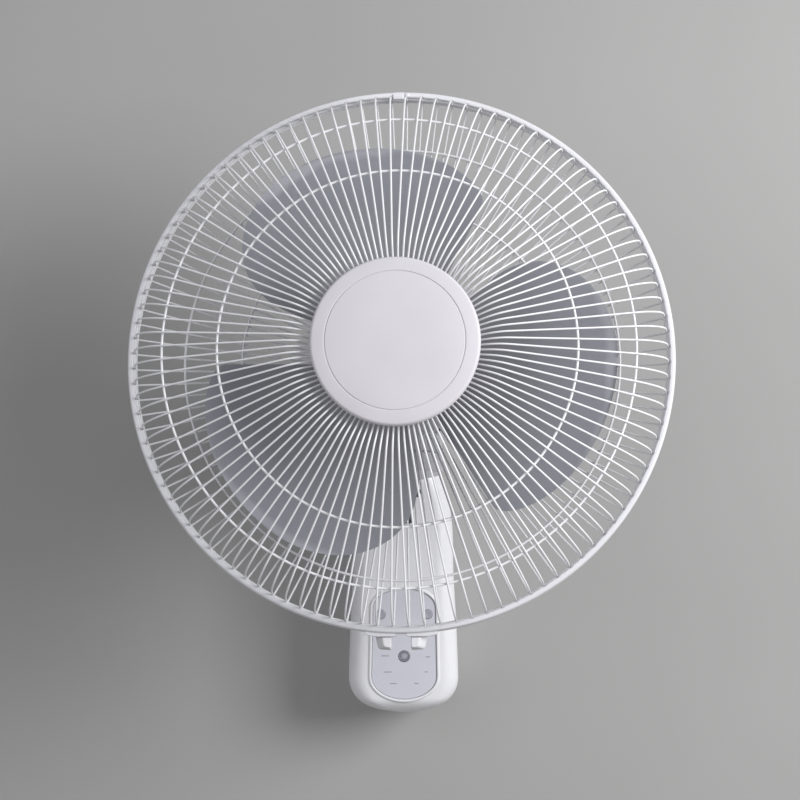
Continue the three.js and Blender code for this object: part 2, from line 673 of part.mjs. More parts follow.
function makeMotor() {
  const face = MOTOR_FACE;
  const statorRear = STATOR_FRONT - STATOR_LONG;
  const seatR = BEARING_R + GAP;
  const bore = SHAFT_R + 1;
  const collarEnd = face + 13.6;
  const frontBell = turned([
    [bore, face - 1], [seatR, face - 1], [seatR, face - 9], [seatR + BELL_T, face - 9],
    [seatR + BELL_T, face - BELL_T], [BELL_R - BELL_T, face - BELL_T],
    [BELL_R - BELL_T, BELL_JOINT], [BELL_R, BELL_JOINT], [BELL_R, face - BELL_T],
    [COVER_R - 1, face - BELL_T], [COVER_R - 1, face], [COLLAR_R, face], [COLLAR_R, collarEnd],
    [COLLAR_R - 3, collarEnd], [COLLAR_R - 3, face + 1], [bore, face + 1],
  ], MOTOR_SIDES);
  piece(head, "motor_front_bell", frontBell, ZINC);

  const rearSeat = BELL_REAR + BELL_T;
  const rearBell = turned([
    [0, BELL_REAR - 4], [seatR + BELL_T, BELL_REAR - 4], [seatR + BELL_T, BELL_REAR],
    [BELL_R, BELL_REAR], [BELL_R, BELL_JOINT - GAP], [BELL_R - BELL_T, BELL_JOINT - GAP],
    [BELL_R - BELL_T, rearSeat], [seatR + BELL_T, rearSeat], [seatR + BELL_T, rearSeat + 4],
    [seatR, rearSeat + 4], [seatR, BELL_REAR - 2.4], [0, BELL_REAR - 2.4],
  ], MOTOR_SIDES);
  piece(head, "motor_rear_bell", rearBell, ZINC);

  const teeth = Array.from({ length: 8 }, (_, i) => {
    const slot = new THREE.BoxGeometry(9, STATOR_LONG + 2, 5);
    slot.translate(STATOR_IN + 5.5, -STATOR_FRONT + STATOR_LONG / 2, 0);
    return solid(slot.rotateY((i * Math.PI) / 4));
  });
  const stack = tube(STATOR_IN, STATOR_OUT, statorRear, STATOR_FRONT, MOTOR_SIDES);
  piece(head, "stator_core", cut(stack, ...teeth), LAMINATION);
  const coil = (from, to) => turned([
    [STATOR_IN + 2, from], [STATOR_OUT - 3, from], [STATOR_OUT - 1, (from + to) / 2],
    [STATOR_OUT - 3, to], [STATOR_IN + 2, to],
  ], MOTOR_SIDES);
  piece(head, "front_winding", coil(STATOR_FRONT + GAP, STATOR_FRONT + 9), COPPER);
  piece(head, "rear_winding", coil(statorRear - 9, statorRear - GAP), COPPER);

  const rotorR = STATOR_IN - 0.5;
  piece(head, "rotor", tube(SHAFT_R + GAP, rotorR, statorRear, STATOR_FRONT, MOTOR_SIDES),
    LAMINATION);
  const shaft = cut(
    rod("y", SHAFT_R, -SHAFT_FRONT, -SHAFT_REAR - GAP),
    rod("x", PIN_R, -9, 9, [DRIVE_PIN_AT - RIM_AHEAD, 0], 12),
  );
  piece(head, "motor_shaft", shaft, STEEL);
  const race = (front) => tube(SHAFT_R + GAP, BEARING_R, front - 6.4, front);
  piece(head, "front_bearing", race(face - 1 - GAP), STEEL);
  piece(head, "rear_bearing", race(rearSeat + 4), STEEL);
}

function makeMotorCover() {
  const [r, end] = [COVER_R, -COVER_END];
  const start = MOTOR_FACE - BELL_T - GAP;
  const outer = [[r, start], [r, end + 14], [r - 3, end + 6.5], [r - 10, end + 1.6], [r - 20, end]];
  const inner = outer.map(([q, a]) => [q - WALL, a + (a < start ? WALL : 0)]).reverse();
  const shell = turned([...outer, [0, end], [0, end + WALL], ...inner], BIG_ROUND);
  const mouth = sheet(pearShape(GAP), -r - 9, plateTop + 6, 10);
  const vents = [-2, -1, 0, 1, 2].map((i) => {
    const wide = 30 - 3 * Math.abs(i);
    return box(-wide, wide, COVER_END - 9, COVER_END + 9, i * 9 - 1.6, i * 9 + 1.6);
  });
  const holes = [-1, 1].map((s) => rod("y", COVER_SCREW_R + GAP, 50, 90, [0, s * COVER_SCREW_AT]));
  piece(head, "motor_cover", cut(shell, mouth, ...vents, ...holes), WHITE);
  for (const [name, s] of [["cover_screw_upper", 1], ["cover_screw_lower", -1]]) {
    const at = [0, s * COVER_SCREW_AT];
    const screw = join(
      rod("y", COVER_SCREW_R, -BELL_REAR + GAP, COVER_END + 1, at, 10),
      rod("y", COVER_SCREW_R + 2, COVER_END + GAP, COVER_END + 2.2, at),
    );
    piece(head, name, screw, STEEL);
  }
}

// ---------------------------------------------------------------- guard

// One straight-sided wire through [radius, height ahead] points, at one place round the guard.
function wire(points, turn) {
  const across = new THREE.Vector3(Math.cos(turn), 0, -Math.sin(turn));
  const out = new THREE.Vector3(Math.sin(turn), 0, Math.cos(turn));
  const ahead = new THREE.Vector3(0, -1, 0);
  const rings = points.map(([r, a], i) => {
    const before = points[Math.max(0, i - 1)];
    const after = points[Math.min(points.length - 1, i + 1)];
    const unit = (p, q) => new THREE.Vector2(q[0] - p[0], q[1] - p[1]).normalize();
    const into = i > 0 ? unit(before, points[i]) : unit(points[i], after);
    const on = i + 1 < points.length ? unit(points[i], after) : into;
    const mean = into.clone().add(on).normalize();
    const side = WIRE_R / mean.dot(into);
    return [90, 210, 330].map((degrees) => {
      const [c, s] = [Math.cos(rad(degrees)), Math.sin(rad(degrees))];
      return new THREE.Vector3()
        .addScaledVector(out, r - mean.y * side * s)
        .addScaledVector(ahead, a + mean.x * side * s)
        .addScaledVector(across, WIRE_R * c);
    });
  });
  return loft(rings);
}

function makeWires(points) {
  const step = (2 * Math.PI) / WIRES;
  return Array.from({ length: WIRES }, (_, i) => wire(points, (i + 0.5) * step));
}

const ring = (radius, ahead) =>
  turned([90, 210, 330].map((degrees) => [
    radius + RING_R * Math.cos(rad(degrees)),
    ahead + RING_R * Math.sin(rad(degrees)),
  ]), RING_SIDES);

function makeFrontGuard() {
  const rimWire = tube(RIM_WIRE_IN, RIM_WIRE_OUT, -2.5, 3, HOOP_SIDES);
  const hubAt = FRONT_WIRE[0][1] + 0.6;
  const hub = tube(18, HUB_PLATE_R, hubAt - HUB_PLATE_T / 2, hubAt + HUB_PLATE_T / 2,
    PLATE_SIDES);
  piece(guard, "front_guard", join(rimWire, hub, ...makeWires(FRONT_WIRE)), WIRE_WHITE);
  const slope = FRONT_WIRE.map(([r, a]) => [r, a]).slice(1, 3);
  const drop = WIRE_R / 2 + RING_R + 1.2 * GAP;
  FRONT_RINGS.forEach((r, i) =>
    piece(guard, `front_ring_${i + 1}`, ring(r, along(slope, r) - drop), WIRE_WHITE));

  // The badge clips round the hub plate.
  const plateFace = hubAt + HUB_PLATE_T / 2;
  const edge = BADGE_FRONT - 3;
  const badge = turned([
    [0, plateFace + GAP], [HUB_PLATE_R - 4, plateFace + GAP], [BADGE_R - 3, edge - 3.5],
    [BADGE_R, edge - 3.5], [BADGE_R, edge], [BADGE_R - 2.4, BADGE_FRONT - 0.6],
    [BADGE_R - 9, BADGE_FRONT + 0.6], [BADGE_R * 0.5, BADGE_FRONT + 2.6], [0, BADGE_FRONT + 3.4],
  ], 40);
  piece(guard, "guard_badge", badge, BADGE_WHITE);
  const plateBack = hubAt - HUB_PLATE_T / 2;
  const clip = turned([
    [0, plateBack - GAP], [24, plateBack - GAP], [24, plateBack - GAP - 2], [0, plateBack - GAP - 2],
  ]);
  const plug = rod("y", 18 - GAP, -plateFace, -plateBack + 1);
  piece(guard, "badge_clip", join(clip, plug), WHITE);
}

function makeRearGuard() {
  const rimWire = tube(RIM_WIRE_IN, RIM_WIRE_OUT, -8.6, -4.4, HOOP_SIDES);
  const back = -RIM_AHEAD + MOTOR_FACE + GAP;
  const hub = tube(COLLAR_R + 2, HUB_PLATE_R - 4, back, back + HUB_PLATE_T, PLATE_SIDES);
  piece(guard, "rear_guard", join(rimWire, hub, ...makeWires(REAR_WIRE)), WIRE_WHITE);
  const slope = REAR_WIRE.map(([r, a]) => [r, a]).reverse();
  const rise = (WIRE_R + RING_R) / 2 + REAR_SLOPE * RING_R + GAP;
  REAR_RINGS.forEach((r, i) =>
    piece(guard, `rear_ring_${i + 1}`, ring(r, along(slope, r) + rise), WIRE_WHITE));

  const nutBack = back + HUB_PLATE_T + GAP;
  const nut = turned([
    [COLLAR_R + GAP, nutBack], [COLLAR_R + 13, nutBack], [COLLAR_R + 13, nutBack + 3],
    [COLLAR_R + 7, nutBack + 3.6], [COLLAR_R + 6, nutBack + 8], [COLLAR_R + GAP, nutBack + 8],
  ], MOTOR_SIDES);
  piece(guard, "rear_guard_nut", nut, WHITE);
}

// ---------------------------------------------------------------- rim hoop and latch

function makeHoop() {
  const [out, wall] = [RIM_R, RIM_R - RIM_WALL];
  const lip = RIM_WIRE_OUT - 0.6;
  const band = turned([
    [out, -10.6], [out - 0.3, 5], [lip, 5], [lip, 3.3], [wall, 3.3], [wall, -8.9],
    [lip, -8.9], [lip, -10.6],
  ], HOOP_SIDES);
  const lugs = [-1, 1].map((s) => {
    const [near, far] = [(s * LATCH_GAP) / 2, s * (LATCH_GAP / 2 + LATCH_LONG)];
    const lug = box(Math.min(near, far), Math.max(near, far), -2.6, 9, -out - 2.6, -out + 1);
    const slotFrom = s * (LATCH_GAP / 2 + 2);
    const slotTo = slotFrom + s * (3 + TAB_TRAVEL + GAP);
    return cut(lug, box(Math.min(slotFrom, slotTo), Math.max(slotFrom, slotTo), 1, 5.6,
      -out - 9, -out - 0.2));
  });
  const hookHalf = 4.5; // it stands between two wires
  const clawOut = RIM_WIRE_IN - 0.8;
  const hook = box(-hookHalf, hookHalf, -6.2, -4.4, clawOut - 1.4, out - 0.5);
  const claw = box(-hookHalf, hookHalf, -6.2, 3, clawOut - 1.4, clawOut);
  piece(guard, "rim_hoop", join(band, ...lugs, hook, claw), WHITE);

  for (const [name, s] of [["latch_tab_left", -1], ["latch_tab_right", 1]]) {
    const inner = s * (LATCH_GAP / 2 + 1.2 + TAB_TRAVEL);
    const tall = 9;
    const top = -out - 2.6 - GAP;
    const shape = new THREE.Shape();
    shape.moveTo(inner, top);
    shape.lineTo(inner + s * 13, top);
    shape.lineTo(inner + s * 10, top - tall);
    shape.lineTo(inner, top - tall);
    shape.closePath();
    const stemFrom = s * (LATCH_GAP / 2 + 2 + TAB_TRAVEL);
    const stemTo = stemFrom + s * 3;
    const stem = box(Math.min(stemFrom, stemTo), Math.max(stemFrom, stemTo), 1 + GAP, 5.6 - GAP,
      top - 2, top + 2.4);
    piece(guard, name, join(slab(shape, -8, 1.4), stem), WHITE);
  }
}

// ---------------------------------------------------------------- impeller

// Leading and trailing edge of a blade in degrees from its middle, at a radius.
function bladeEdges(r) {
  const round = (from) => {
    const s = THREE.MathUtils.clamp((r - from) / (BLADE_R - from), 0, 1);
    return 1 - Math.sqrt(1 - s * s);
  };
  return [-46 + 56 * round(BLADE_R - 34), 50 - 40 * round(BLADE_R - 81)];
}

// Height of the blade ahead of the rim plane.
function bladeHeight(r, degrees) {
  const out = (r - HUB_R) / (BLADE_R - HUB_R);
  return -6 + 26 * out + ((16 - 3 * out) * degrees) / 48;
}

function makeBlade(middle) {
  const fromTip = [96, 61, 34, 18, 8, 2.5, 0.1];
  const radii = [HUB_R - 6, ...fromTip.map((depth) => BLADE_R - depth)];
  const across = 5;
  const rings = radii.map((r) => {
    const [lead, trail] = bladeEdges(r);
    const skin = (side) => Array.from({ length: across }, (_, k) => {
      const degrees = lead + ((trail - lead) * k) / (across - 1);
      const turn = rad(degrees + middle);
      const edge = k === 0 || k === across - 1 ? 0.25 : 0.5;
      const ahead = bladeHeight(r, degrees) + side * BLADE_T * edge;
      return new THREE.Vector3(r * Math.cos(turn), -ahead, r * Math.sin(turn));
    });
    return [...skin(1), ...skin(-1).reverse()];
  });
  return loft(rings);
}

function makeImpeller() {
  const bore = SHAFT_R + GAP;
  const boss = turned([
    [bore, -HUB_BACK], [12, -HUB_BACK], [12, 2], [HUB_R - 3, 2], [HUB_R - 3, -30], [HUB_R, -30],
    [HUB_R, 2], [HUB_R - 5, 7], [14, 9], [bore, 9],
  ], HUB_SIDES);
  const groove = box(-20, 20, DRIVE_PIN_AT - PIN_R, HUB_BACK + 2, -PIN_R, PIN_R);
  const hub = cut(boss, groove);
  const blades = Array.from({ length: BLADES }, (_, i) => makeBlade(BLADE_AT + (i * 360) / BLADES));
  const inside = turned([
    [0, -60], [HUB_R - 3, -60], [HUB_R - 3, 2], [0, 2],
  ], HUB_SIDES);
  const trimmed = blades.map((blade) => cut(blade, inside));
  piece(guard, "impeller", join(hub, ...trimmed), BLADE_GREY);
  const spinner = turned([
    [0, 20], [10, 18], [14, 12], [14, 9 + GAP], [bore, 9 + GAP], [bore, 14], [0, 14],
  ]);
  piece(guard, "spinner_nut", spinner, BLADE_GREY);
  const pin = rod("x", PIN_R - GAP, -9, 9, [DRIVE_PIN_AT, 0], 12);
  piece(guard, "drive_pin", pin, STEEL);
}

makeColumn();
makeControls();
makePivots();
makeSwingDrive();
makeMotor();
makeMotorCover();
makeFrontGuard();
makeRearGuard();
makeHoop();
makeImpeller();

export default fan;
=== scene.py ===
# %% [markdown]
# # A wall mounted fan
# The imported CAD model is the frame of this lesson: it gives every piece its place, its size and the
# body it moves with. The faceted shells, wires and blades are then replaced by smooth surfaces that
# are worked out with numpy, and every piece gets a procedural finish.

# %% Load the frame
import json
import math

import bmesh
import bpy
import numpy as np
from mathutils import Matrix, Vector


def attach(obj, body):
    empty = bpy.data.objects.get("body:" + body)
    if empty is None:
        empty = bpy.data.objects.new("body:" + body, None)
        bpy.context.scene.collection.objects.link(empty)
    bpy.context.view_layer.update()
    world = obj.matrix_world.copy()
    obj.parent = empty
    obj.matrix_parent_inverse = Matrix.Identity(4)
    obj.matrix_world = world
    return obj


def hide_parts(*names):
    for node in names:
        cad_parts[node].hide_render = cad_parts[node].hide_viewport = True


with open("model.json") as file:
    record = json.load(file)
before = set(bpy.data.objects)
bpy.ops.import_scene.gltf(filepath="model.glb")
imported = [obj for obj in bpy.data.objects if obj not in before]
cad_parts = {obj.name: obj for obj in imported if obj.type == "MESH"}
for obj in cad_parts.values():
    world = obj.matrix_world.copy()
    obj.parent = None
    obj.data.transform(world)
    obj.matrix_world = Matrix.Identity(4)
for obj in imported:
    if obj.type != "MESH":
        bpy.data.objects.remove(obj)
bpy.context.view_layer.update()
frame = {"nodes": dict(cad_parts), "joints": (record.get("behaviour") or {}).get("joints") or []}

# %% [markdown]
# ## Where the head is
# The neck looks up a little and the head is turned a little to one side, so the guard, the blades and
# the motor don't lie along the world's axes. The tilted axes could be typed in, but the joints of the
# frame know them: the spin joint gives the direction of the fan axis, and the swing joint gives the
# way up for the head.

# %% Axes of the head and of the neck
joint = {j["name"]: j for j in frame["joints"]}
AHEAD = np.array(joint["spin"]["axis"])
UP = np.array(joint["swing"]["axis"])
ACROSS = np.cross(UP, AHEAD)
NECK_AHEAD = np.cross([1, 0, 0], UP)
SWING = np.array(joint["swing"]["pos_m"])
TILT = np.array(joint["tilt"]["pos_m"])
RIM_AHEAD = 105  # millimetres from the swing axis to the middle of the rim


def on_head(points):
    """Millimetres across, ahead and up from the swing point, turned into metres in the frame."""
    return SWING + np.asarray(points, float) @ np.array([ACROSS, AHEAD, UP]) * 1e-3


def on_rim(points):
    """The same from the middle of the rim, which lies ahead of the swing point."""
    return on_head(np.asarray(points, float) + [0, RIM_AHEAD, 0])


def on_neck(points):
    """Millimetres across, ahead and up from the tilt bolt, along the neck."""
    return TILT + np.asarray(points, float) @ np.array([[1, 0, 0], NECK_AHEAD, UP]) * 1e-3


def on_wall(points):
    """Millimetres across, out of the wall and up from the middle of the wall bracket."""
    return np.asarray(points, float) * [1e-3, -1e-3, 1e-3]


def moved(place, shift):
    """The same way of placing points, from a start that is moved by some millimetres."""
    return lambda points: place(np.asarray(points, float) + shift)


print("fan axis", np.round(AHEAD, 4), "rim middle", np.round(on_rim([0, 0, 0]), 4))

# %% [markdown]
# ## From points to pieces
# A surface here is a grid: rows and columns of points, joined by quads, with either direction closed
# on itself or left open. The points come as one numpy array and go into the mesh in one call, which is
# far quicker than adding vertices one by one. A short sum of signed volumes tells which way the faces
# look, and the mesh is turned if they look inwards.

# %% Grids and meshes
def grid_quads(rows, columns, close_rows=False, close_columns=True):
    """Corner numbers of the quads of a grid: (i, j), (i, j+1), (i+1, j+1), (i+1, j)."""
    i = np.arange(rows if close_rows else rows - 1)[:, None]
    j = np.arange(columns if close_columns else columns - 1)[None, :]
    i2, j2 = (i + 1) % rows, (j + 1) % columns
    return np.stack([i * columns + j, i * columns + j2, i2 * columns + j2, i2 * columns + j],
                    axis=-1).reshape(-1, 4)


def mesh_piece(name, points, quads, ends=(), weld=True, sharp=38):
    """An object from points in metres, quads and end polygons, facing out and shaded smooth."""
    points = np.asarray(points, float).reshape(-1, 3)
    loops = np.concatenate([quads.ravel(), *[np.asarray(e) for e in ends]]).astype(np.int32)
    sizes = np.concatenate([np.full(len(quads), 4), [len(e) for e in ends]]).astype(np.int32)
    starts = np.concatenate([[0], np.cumsum(sizes)[:-1]]).astype(np.int32)
    mesh = bpy.data.meshes.new(name)
    mesh.vertices.add(len(points))
    mesh.vertices.foreach_set("co", points.ravel())
    mesh.loops.add(len(loops))
    mesh.loops.foreach_set("vertex_index", loops)
    mesh.polygons.add(len(sizes))
    mesh.polygons.foreach_set("loop_start", starts)
    mesh.update(calc_edges=True)
    mesh.validate()
    corner = points[quads] - points.mean(axis=0)
    a, b, c, d = np.moveaxis(corner, 1, 0)
    volume = (a * np.cross(b, c)).sum() + (a * np.cross(c, d)).sum()
    work = bmesh.new()
    work.from_mesh(mesh)
    if weld:
        bmesh.ops.remove_doubles(work, verts=work.verts, dist=2e-6)
    if volume < 0:
        bmesh.ops.reverse_faces(work, faces=work.faces)
    work.to_mesh(mesh)
    work.free()
    return shown(name, mesh, sharp)


def smooth(mesh, sharp=38):
    """Smooth shading, except where faces meet at more than the sharp angle."""
    mesh.polygons.foreach_set("use_smooth", np.ones(len(mesh.polygons), bool))
    if sharp:
        mesh.set_sharp_from_angle(angle=math.radians(sharp))


def shown(name, mesh, sharp=38):
    """Puts a mesh into the scene as an object at the origin."""
    smooth(mesh, sharp)
    piece = bpy.data.objects.new(name, mesh)
    bpy.context.scene.collection.objects.link(piece)
    return piece


print("a tube of 4 rings of 6 points has", len(grid_quads(4, 6)), "quads")

# %% [markdown]
# Each new piece is then handed to the frame: which body it moves with, which finish it wears, and
# which CAD nodes it replaces, which are hidden. One function does all of it, so no piece is forgotten.

# %% Dressing a piece
def dress(piece, body, slot, finish, *nodes):
    """The piece rides on a body, takes its finish, and stands for the CAD nodes named, which are
    hidden. The slot is not used.
    """
    piece.data.materials.clear()
    piece.data.materials.append(finish)
    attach(piece, body)
    if nodes:
        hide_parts(*nodes)
    return piece


# %% [markdown]
# ## Finishes
# A real moulding is never one flat colour. Its colour drifts by a percent or two, its gloss changes
# where it has been handled, and its skin has a faint orange peel. Photographs of surfaces could show
# that, but noise has no seams and no edges. Every finish below is built from noise on Object
# coordinates, in metres, so a scale of 1000 is a feature of about a millimetre.

# %% Finish helpers
def new_finish(name):
    """An empty node material with its Principled shader and Object coordinates."""
    made = bpy.data.materials.new(name)
    made.use_nodes = True
    nodes = made.node_tree.nodes
    shader = nodes["Principled BSDF"]
    place = nodes.new("ShaderNodeTexCoord").outputs["Object"]
    return made, nodes, made.node_tree.links, shader, place


def noise(nodes, links, place, scale, detail=3, stretch=None):
    """Noise of the given scale, drawn out along an axis if stretch is given."""
    if stretch:
        mapping = nodes.new("ShaderNodeMapping")
        mapping.inputs["Scale"].default_value = stretch
        links.new(place, mapping.inputs["Vector"])
        place = mapping.outputs["Vector"]
    texture = nodes.new("ShaderNodeTexNoise")
    texture.inputs["Scale"].default_value = scale
    texture.inputs["Detail"].default_value = detail
    links.new(place, texture.inputs["Vector"])
    return texture.outputs["Fac"]


def ramp(nodes, links, value, stops):
    """A colour ramp with (position, colour) stops."""
    made = nodes.new("ShaderNodeValToRGB")
    entries = made.color_ramp.elements
    while len(entries) < len(stops):
        entries.new(0.5)
    for entry, (position, colour) in zip(entries, stops):
        entry.position = position
        entry.color = (*colour, 1)
    links.new(value, made.inputs["Fac"])
    return made.outputs["Color"]


def span(nodes, links, value, low, high):
    """Stretches a 0.3 to 0.7 noise to the given range."""
    made = nodes.new("ShaderNodeMapRange")
    made.inputs["From Min"].default_value = 0.3
    made.inputs["From Max"].default_value = 0.7
    made.inputs["To Min"].default_value = low
    made.inputs["To Max"].default_value = high
    links.new(value, made.inputs["Value"])
    return made.outputs["Result"]


def bump(nodes, links, shader, height, strength, distance):
    """Raises the surface by a height value, by at most the distance."""
    made = nodes.new("ShaderNodeBump")
    made.inputs["Strength"].default_value = strength
    made.inputs["Distance"].default_value = distance
    links.new(height, made.inputs["Height"])
    links.new(made.outputs["Normal"], shader.inputs["Normal"])


def shade(colour, factor):
    return tuple(min(1.0, c * factor) for c in colour)


# %% [markdown]
# Most of the fan is moulded plastic, and its wires wear a powder coat, which also melts into a skin
# with tiny hills. So one function makes both: it takes a colour, a range of gloss, and how fine and
# how deep the skin's hills are.

# %% Moulded plastic
def moulded(name, colour, gloss=(0.28, 0.36), peel=900, depth=4e-5, drift=0.03):
    """Moulded plastic: drifting colour, patchy gloss and a fine orange peel."""
    made, nodes, links, shader, place = new_finish(name)
    patches = noise(nodes, links, place, 22, detail=4)
    links.new(ramp(nodes, links, patches,
                   [(0.3, shade(colour, 1 - drift)), (0.55, colour), (0.75, shade(colour, 1 + drift))]),
              shader.inputs["Base Color"])
    links.new(span(nodes, links, noise(nodes, links, place, 70), *gloss), shader.inputs["Roughness"])
    bump(nodes, links, shader, noise(nodes, links, place, peel, detail=2), 0.35, depth)
    shader.inputs["IOR"].default_value = 1.5
    return made


white = moulded("white_moulding", (0.80, 0.80, 0.82), gloss=(0.27, 0.36), drift=0.02)
coat = moulded("powder_coat", (0.86, 0.86, 0.88), gloss=(0.26, 0.38), peel=2600, depth=5e-5)
print("finishes so far:", [m.name for m in (white, coat)])

# %% [markdown]
# ## The guard wires
# One hundred and eight wires fan out from behind the badge. Each starts in the hub plate, bends over a
# shoulder, runs down a long straight slope, then turns back tightly and dives into the rim. They could
# be bevelled curves, but one array of points gives the same wires as a single mesh with few faces. The
# path is drawn as a few corners, the corners are rounded, and the set is the path at many turns.

# %% Rounded paths and wires
def rounded(points, radius, steps=5, closed=True):
    """Each corner gives way to a parabola that starts and ends at the radius from it."""
    p = np.asarray(points, float)
    before, after = np.roll(p, 1, axis=0), np.roll(p, -1, axis=0)
    into, out = p - before, after - p
    long_in, long_out = np.linalg.norm(into, axis=1), np.linalg.norm(out, axis=1)
    reach = np.minimum(np.broadcast_to(radius, len(p)), 0.48 * np.minimum(long_in, long_out))
    start = p - into / long_in[:, None] * reach[:, None]
    end = p + out / long_out[:, None] * reach[:, None]
    t = np.linspace(0, 1, steps + 1)[None, :, None]
    curve = (1 - t) ** 2 * start[:, None] + 2 * t * (1 - t) * p[:, None] + t**2 * end[:, None]
    if closed:
        return curve.reshape(-1, p.shape[1])
    return np.concatenate([p[:1], curve[1:-1].reshape(-1, p.shape[1]), p[-1:]])


def wires(name, path, radius, turns, place, sides=8):
    """A path of (r, ahead) points thickened to a round wire, and repeated at the given turns.
    Ring point k is the path point plus radius (cos k along the path's normal + sin k sideways)."""
    path = np.asarray(path, float)
    along = np.gradient(path, axis=0)
    along /= np.linalg.norm(along, axis=1)[:, None]
    normal = np.stack([-along[:, 1], along[:, 0]], axis=-1)
    k = np.linspace(0, 2 * np.pi, sides, endpoint=False)
    ring = path[:, None] + radius * np.cos(k)[None, :, None] * normal[:, None]
    side = np.broadcast_to(radius * np.sin(k), ring.shape[:2])
    t = np.asarray(turns)[:, None, None]
    points = np.stack([ring[..., 0] * np.cos(t) - side * np.sin(t),
                       ring[..., 1] + 0 * t,
                       ring[..., 0] * np.sin(t) + side * np.cos(t)], axis=-1)
    each = len(path) * sides
    first = np.arange(len(turns)) * each
    quads = grid_quads(len(path), sides)
    all_quads = (quads[None] + first[:, None, None]).reshape(-1, 4)
    caps = [cap for f in first for cap in (f + np.arange(sides), f + each - 1 - np.arange(sides))]
    return mesh_piece(name, place(points), all_quads, caps, weld=False, sharp=50)


# %% Front wires
WIRES = 108
WIRE_R = 0.76
STEP = 2 * math.pi / WIRES
TURNS = (np.arange(WIRES) + 0.5) * STEP
FRONT_PATH = [[57, 63.0], [78, 74.0], [191, 35.9], [206.2, 21.8], [208.9, 0.5]]
BENDS = [0, 9, 13, 11, 0]
front_path = rounded(FRONT_PATH, BENDS, steps=7, closed=False)
front_wires = wires("front_wires", front_path, WIRE_R, TURNS, on_rim)
dress(front_wires, "head", "wire_white", coat, "front_guard")
print("front wires:", len(front_wires.data.polygons), "faces")

# %% [markdown]
# ## Turned pieces
# Plates, rings, the badge and the motor housing are all a profile carried round an axis, as on a
# lathe. The Screw modifier does the same, but a formula can also let the radius change on the way
# round, which gives notches and finger grips without any cutting.

# %% Turned pieces
def turned(name, profile, sides, place, closed=True, axis="ahead", sharp=38, wave=None):
    """Radius r and height h of the profile, carried round: (r cos a, h, r sin a).
    wave(r, h, a) may change the radius from place to place."""
    r, h = np.asarray(profile, float).T
    a = np.linspace(0, 2 * np.pi, sides, endpoint=False)
    r, h, a = r[:, None], h[:, None], a[None, :]
    r = r + (wave(r, h, a) if wave else 0 * a)
    h = h + 0 * a
    first, last = r * np.cos(a), r * np.sin(a)
    order = {"ahead": [first, h, last], "up": [first, last, h], "across": [h, first, last]}[axis]
    quads = grid_quads(len(r), sides, close_rows=closed)
    return mesh_piece(name, place(np.stack(order, axis=-1)), quads, sharp=sharp)


def tube_ring(name, radius, ahead, thick):
    """A wire bent into a closed ring round the fan axis."""
    k = np.linspace(0, 2 * np.pi, 10, endpoint=False)
    profile = np.stack([radius + thick * np.cos(k), ahead + thick * np.sin(k)], axis=-1)
    return turned(name, profile, 216, on_rim, sharp=0)


def box_outline(x0, x1, y0, y1, radius, steps=5):
    """A rectangle with rounded corners."""
    return rounded([[x0, y0], [x1, y0], [x1, y1], [x0, y1]], radius, steps)


def flat_ring(name, inner, outer, low, high, edge):
    """A washer round the fan axis: a rectangle with rounded corners, turned."""
    return turned(name, box_outline(inner, outer, low, high, edge), 120, on_rim)


# %% Rim wire and hub plate of the front guard
RIM_WIRE_AT, RIM_WIRE_R = 210.6, 1.9
front_rim = tube_ring("front_rim_wire", RIM_WIRE_AT, -0.6, RIM_WIRE_R)
dress(front_rim, "head", "wire_white", coat, "front_guard")
plate = flat_ring("front_hub_plate", 18, 60, 62.4, 66, 1.2)
dress(plate, "head", "wire_white", coat, "front_guard")
print("rim wire:", len(front_rim.data.polygons), "faces")

# %% [markdown]
# Two hoops of thicker wire tie the front wires together from behind, and two more do the same at the
# back. Each is welded to every wire it crosses. Their height could be read off a drawing, but it
# follows from the slope: each lies just under the wires, at the height the slope has at its radius.

# %% Support rings
RING_R = 0.98
FRONT_SLOPE = FRONT_PATH[1:3]
REAR_PATH = [[211, -6.3], [173, -22.2], [54, -60.7]]


def slope_height(path, radius):
    """Height of a path of (r, ahead) points at a radius, along its straight runs."""
    r, ahead = np.array(sorted(path)).T
    return float(np.interp(radius, r, ahead))


for number, radius in enumerate([137, 182], 1):
    height = slope_height(FRONT_SLOPE, radius) - WIRE_R - RING_R
    ring = tube_ring(f"front_ring_wire_{number}", radius, height, RING_R)
    dress(ring, "head", "wire_white", coat, f"front_ring_{number}")
for number, radius in enumerate([129, 173], 1):
    height = slope_height(REAR_PATH, radius) + WIRE_R + RING_R
    ring = tube_ring(f"rear_ring_wire_{number}", radius, height, RING_R)
    dress(ring, "head", "wire_white", coat, f"rear_ring_{number}")
print("lowest ring lies", round(height, 1), "mm behind the rim")

# %% [markdown]
# The rear guard is a shallow basket of as many wires, from the rim to a plate round the motor's
# collar. A mirrored front guard would be quicker but wrong, because the rear one has no shoulder. The
# function is the same, and only the path is another.

# %% Rear guard
rear_path = rounded(REAR_PATH, [0, 14, 0], steps=8, closed=False)
rear_wires = wires("rear_wires", rear_path, WIRE_R, TURNS, on_rim)
dress(rear_wires, "head", "wire_white", coat, "rear_guard")
rear_rim = tube_ring("rear_rim_wire", RIM_WIRE_AT, -6.5, RIM_WIRE_R)
dress(rear_rim, "head", "wire_white", coat, "rear_guard")
rear_plate = flat_ring("rear_hub_plate", 26, 56, -62.3, -58.7, 1.0)
dress(rear_plate, "head", "wire_white", coat, "rear_guard")
print("rear wires:", len(rear_wires.data.polygons), "faces")

# %% [markdown]
# ## Pillows
# Lugs, plates, trays and panels are not round. Each is an outline stacked at several heights and drawn
# in a little at each, which rounds its edges. A cube with a Bevel modifier would serve for a few of
# them, but this takes any outline. With straight sides, the same function makes the cutters.

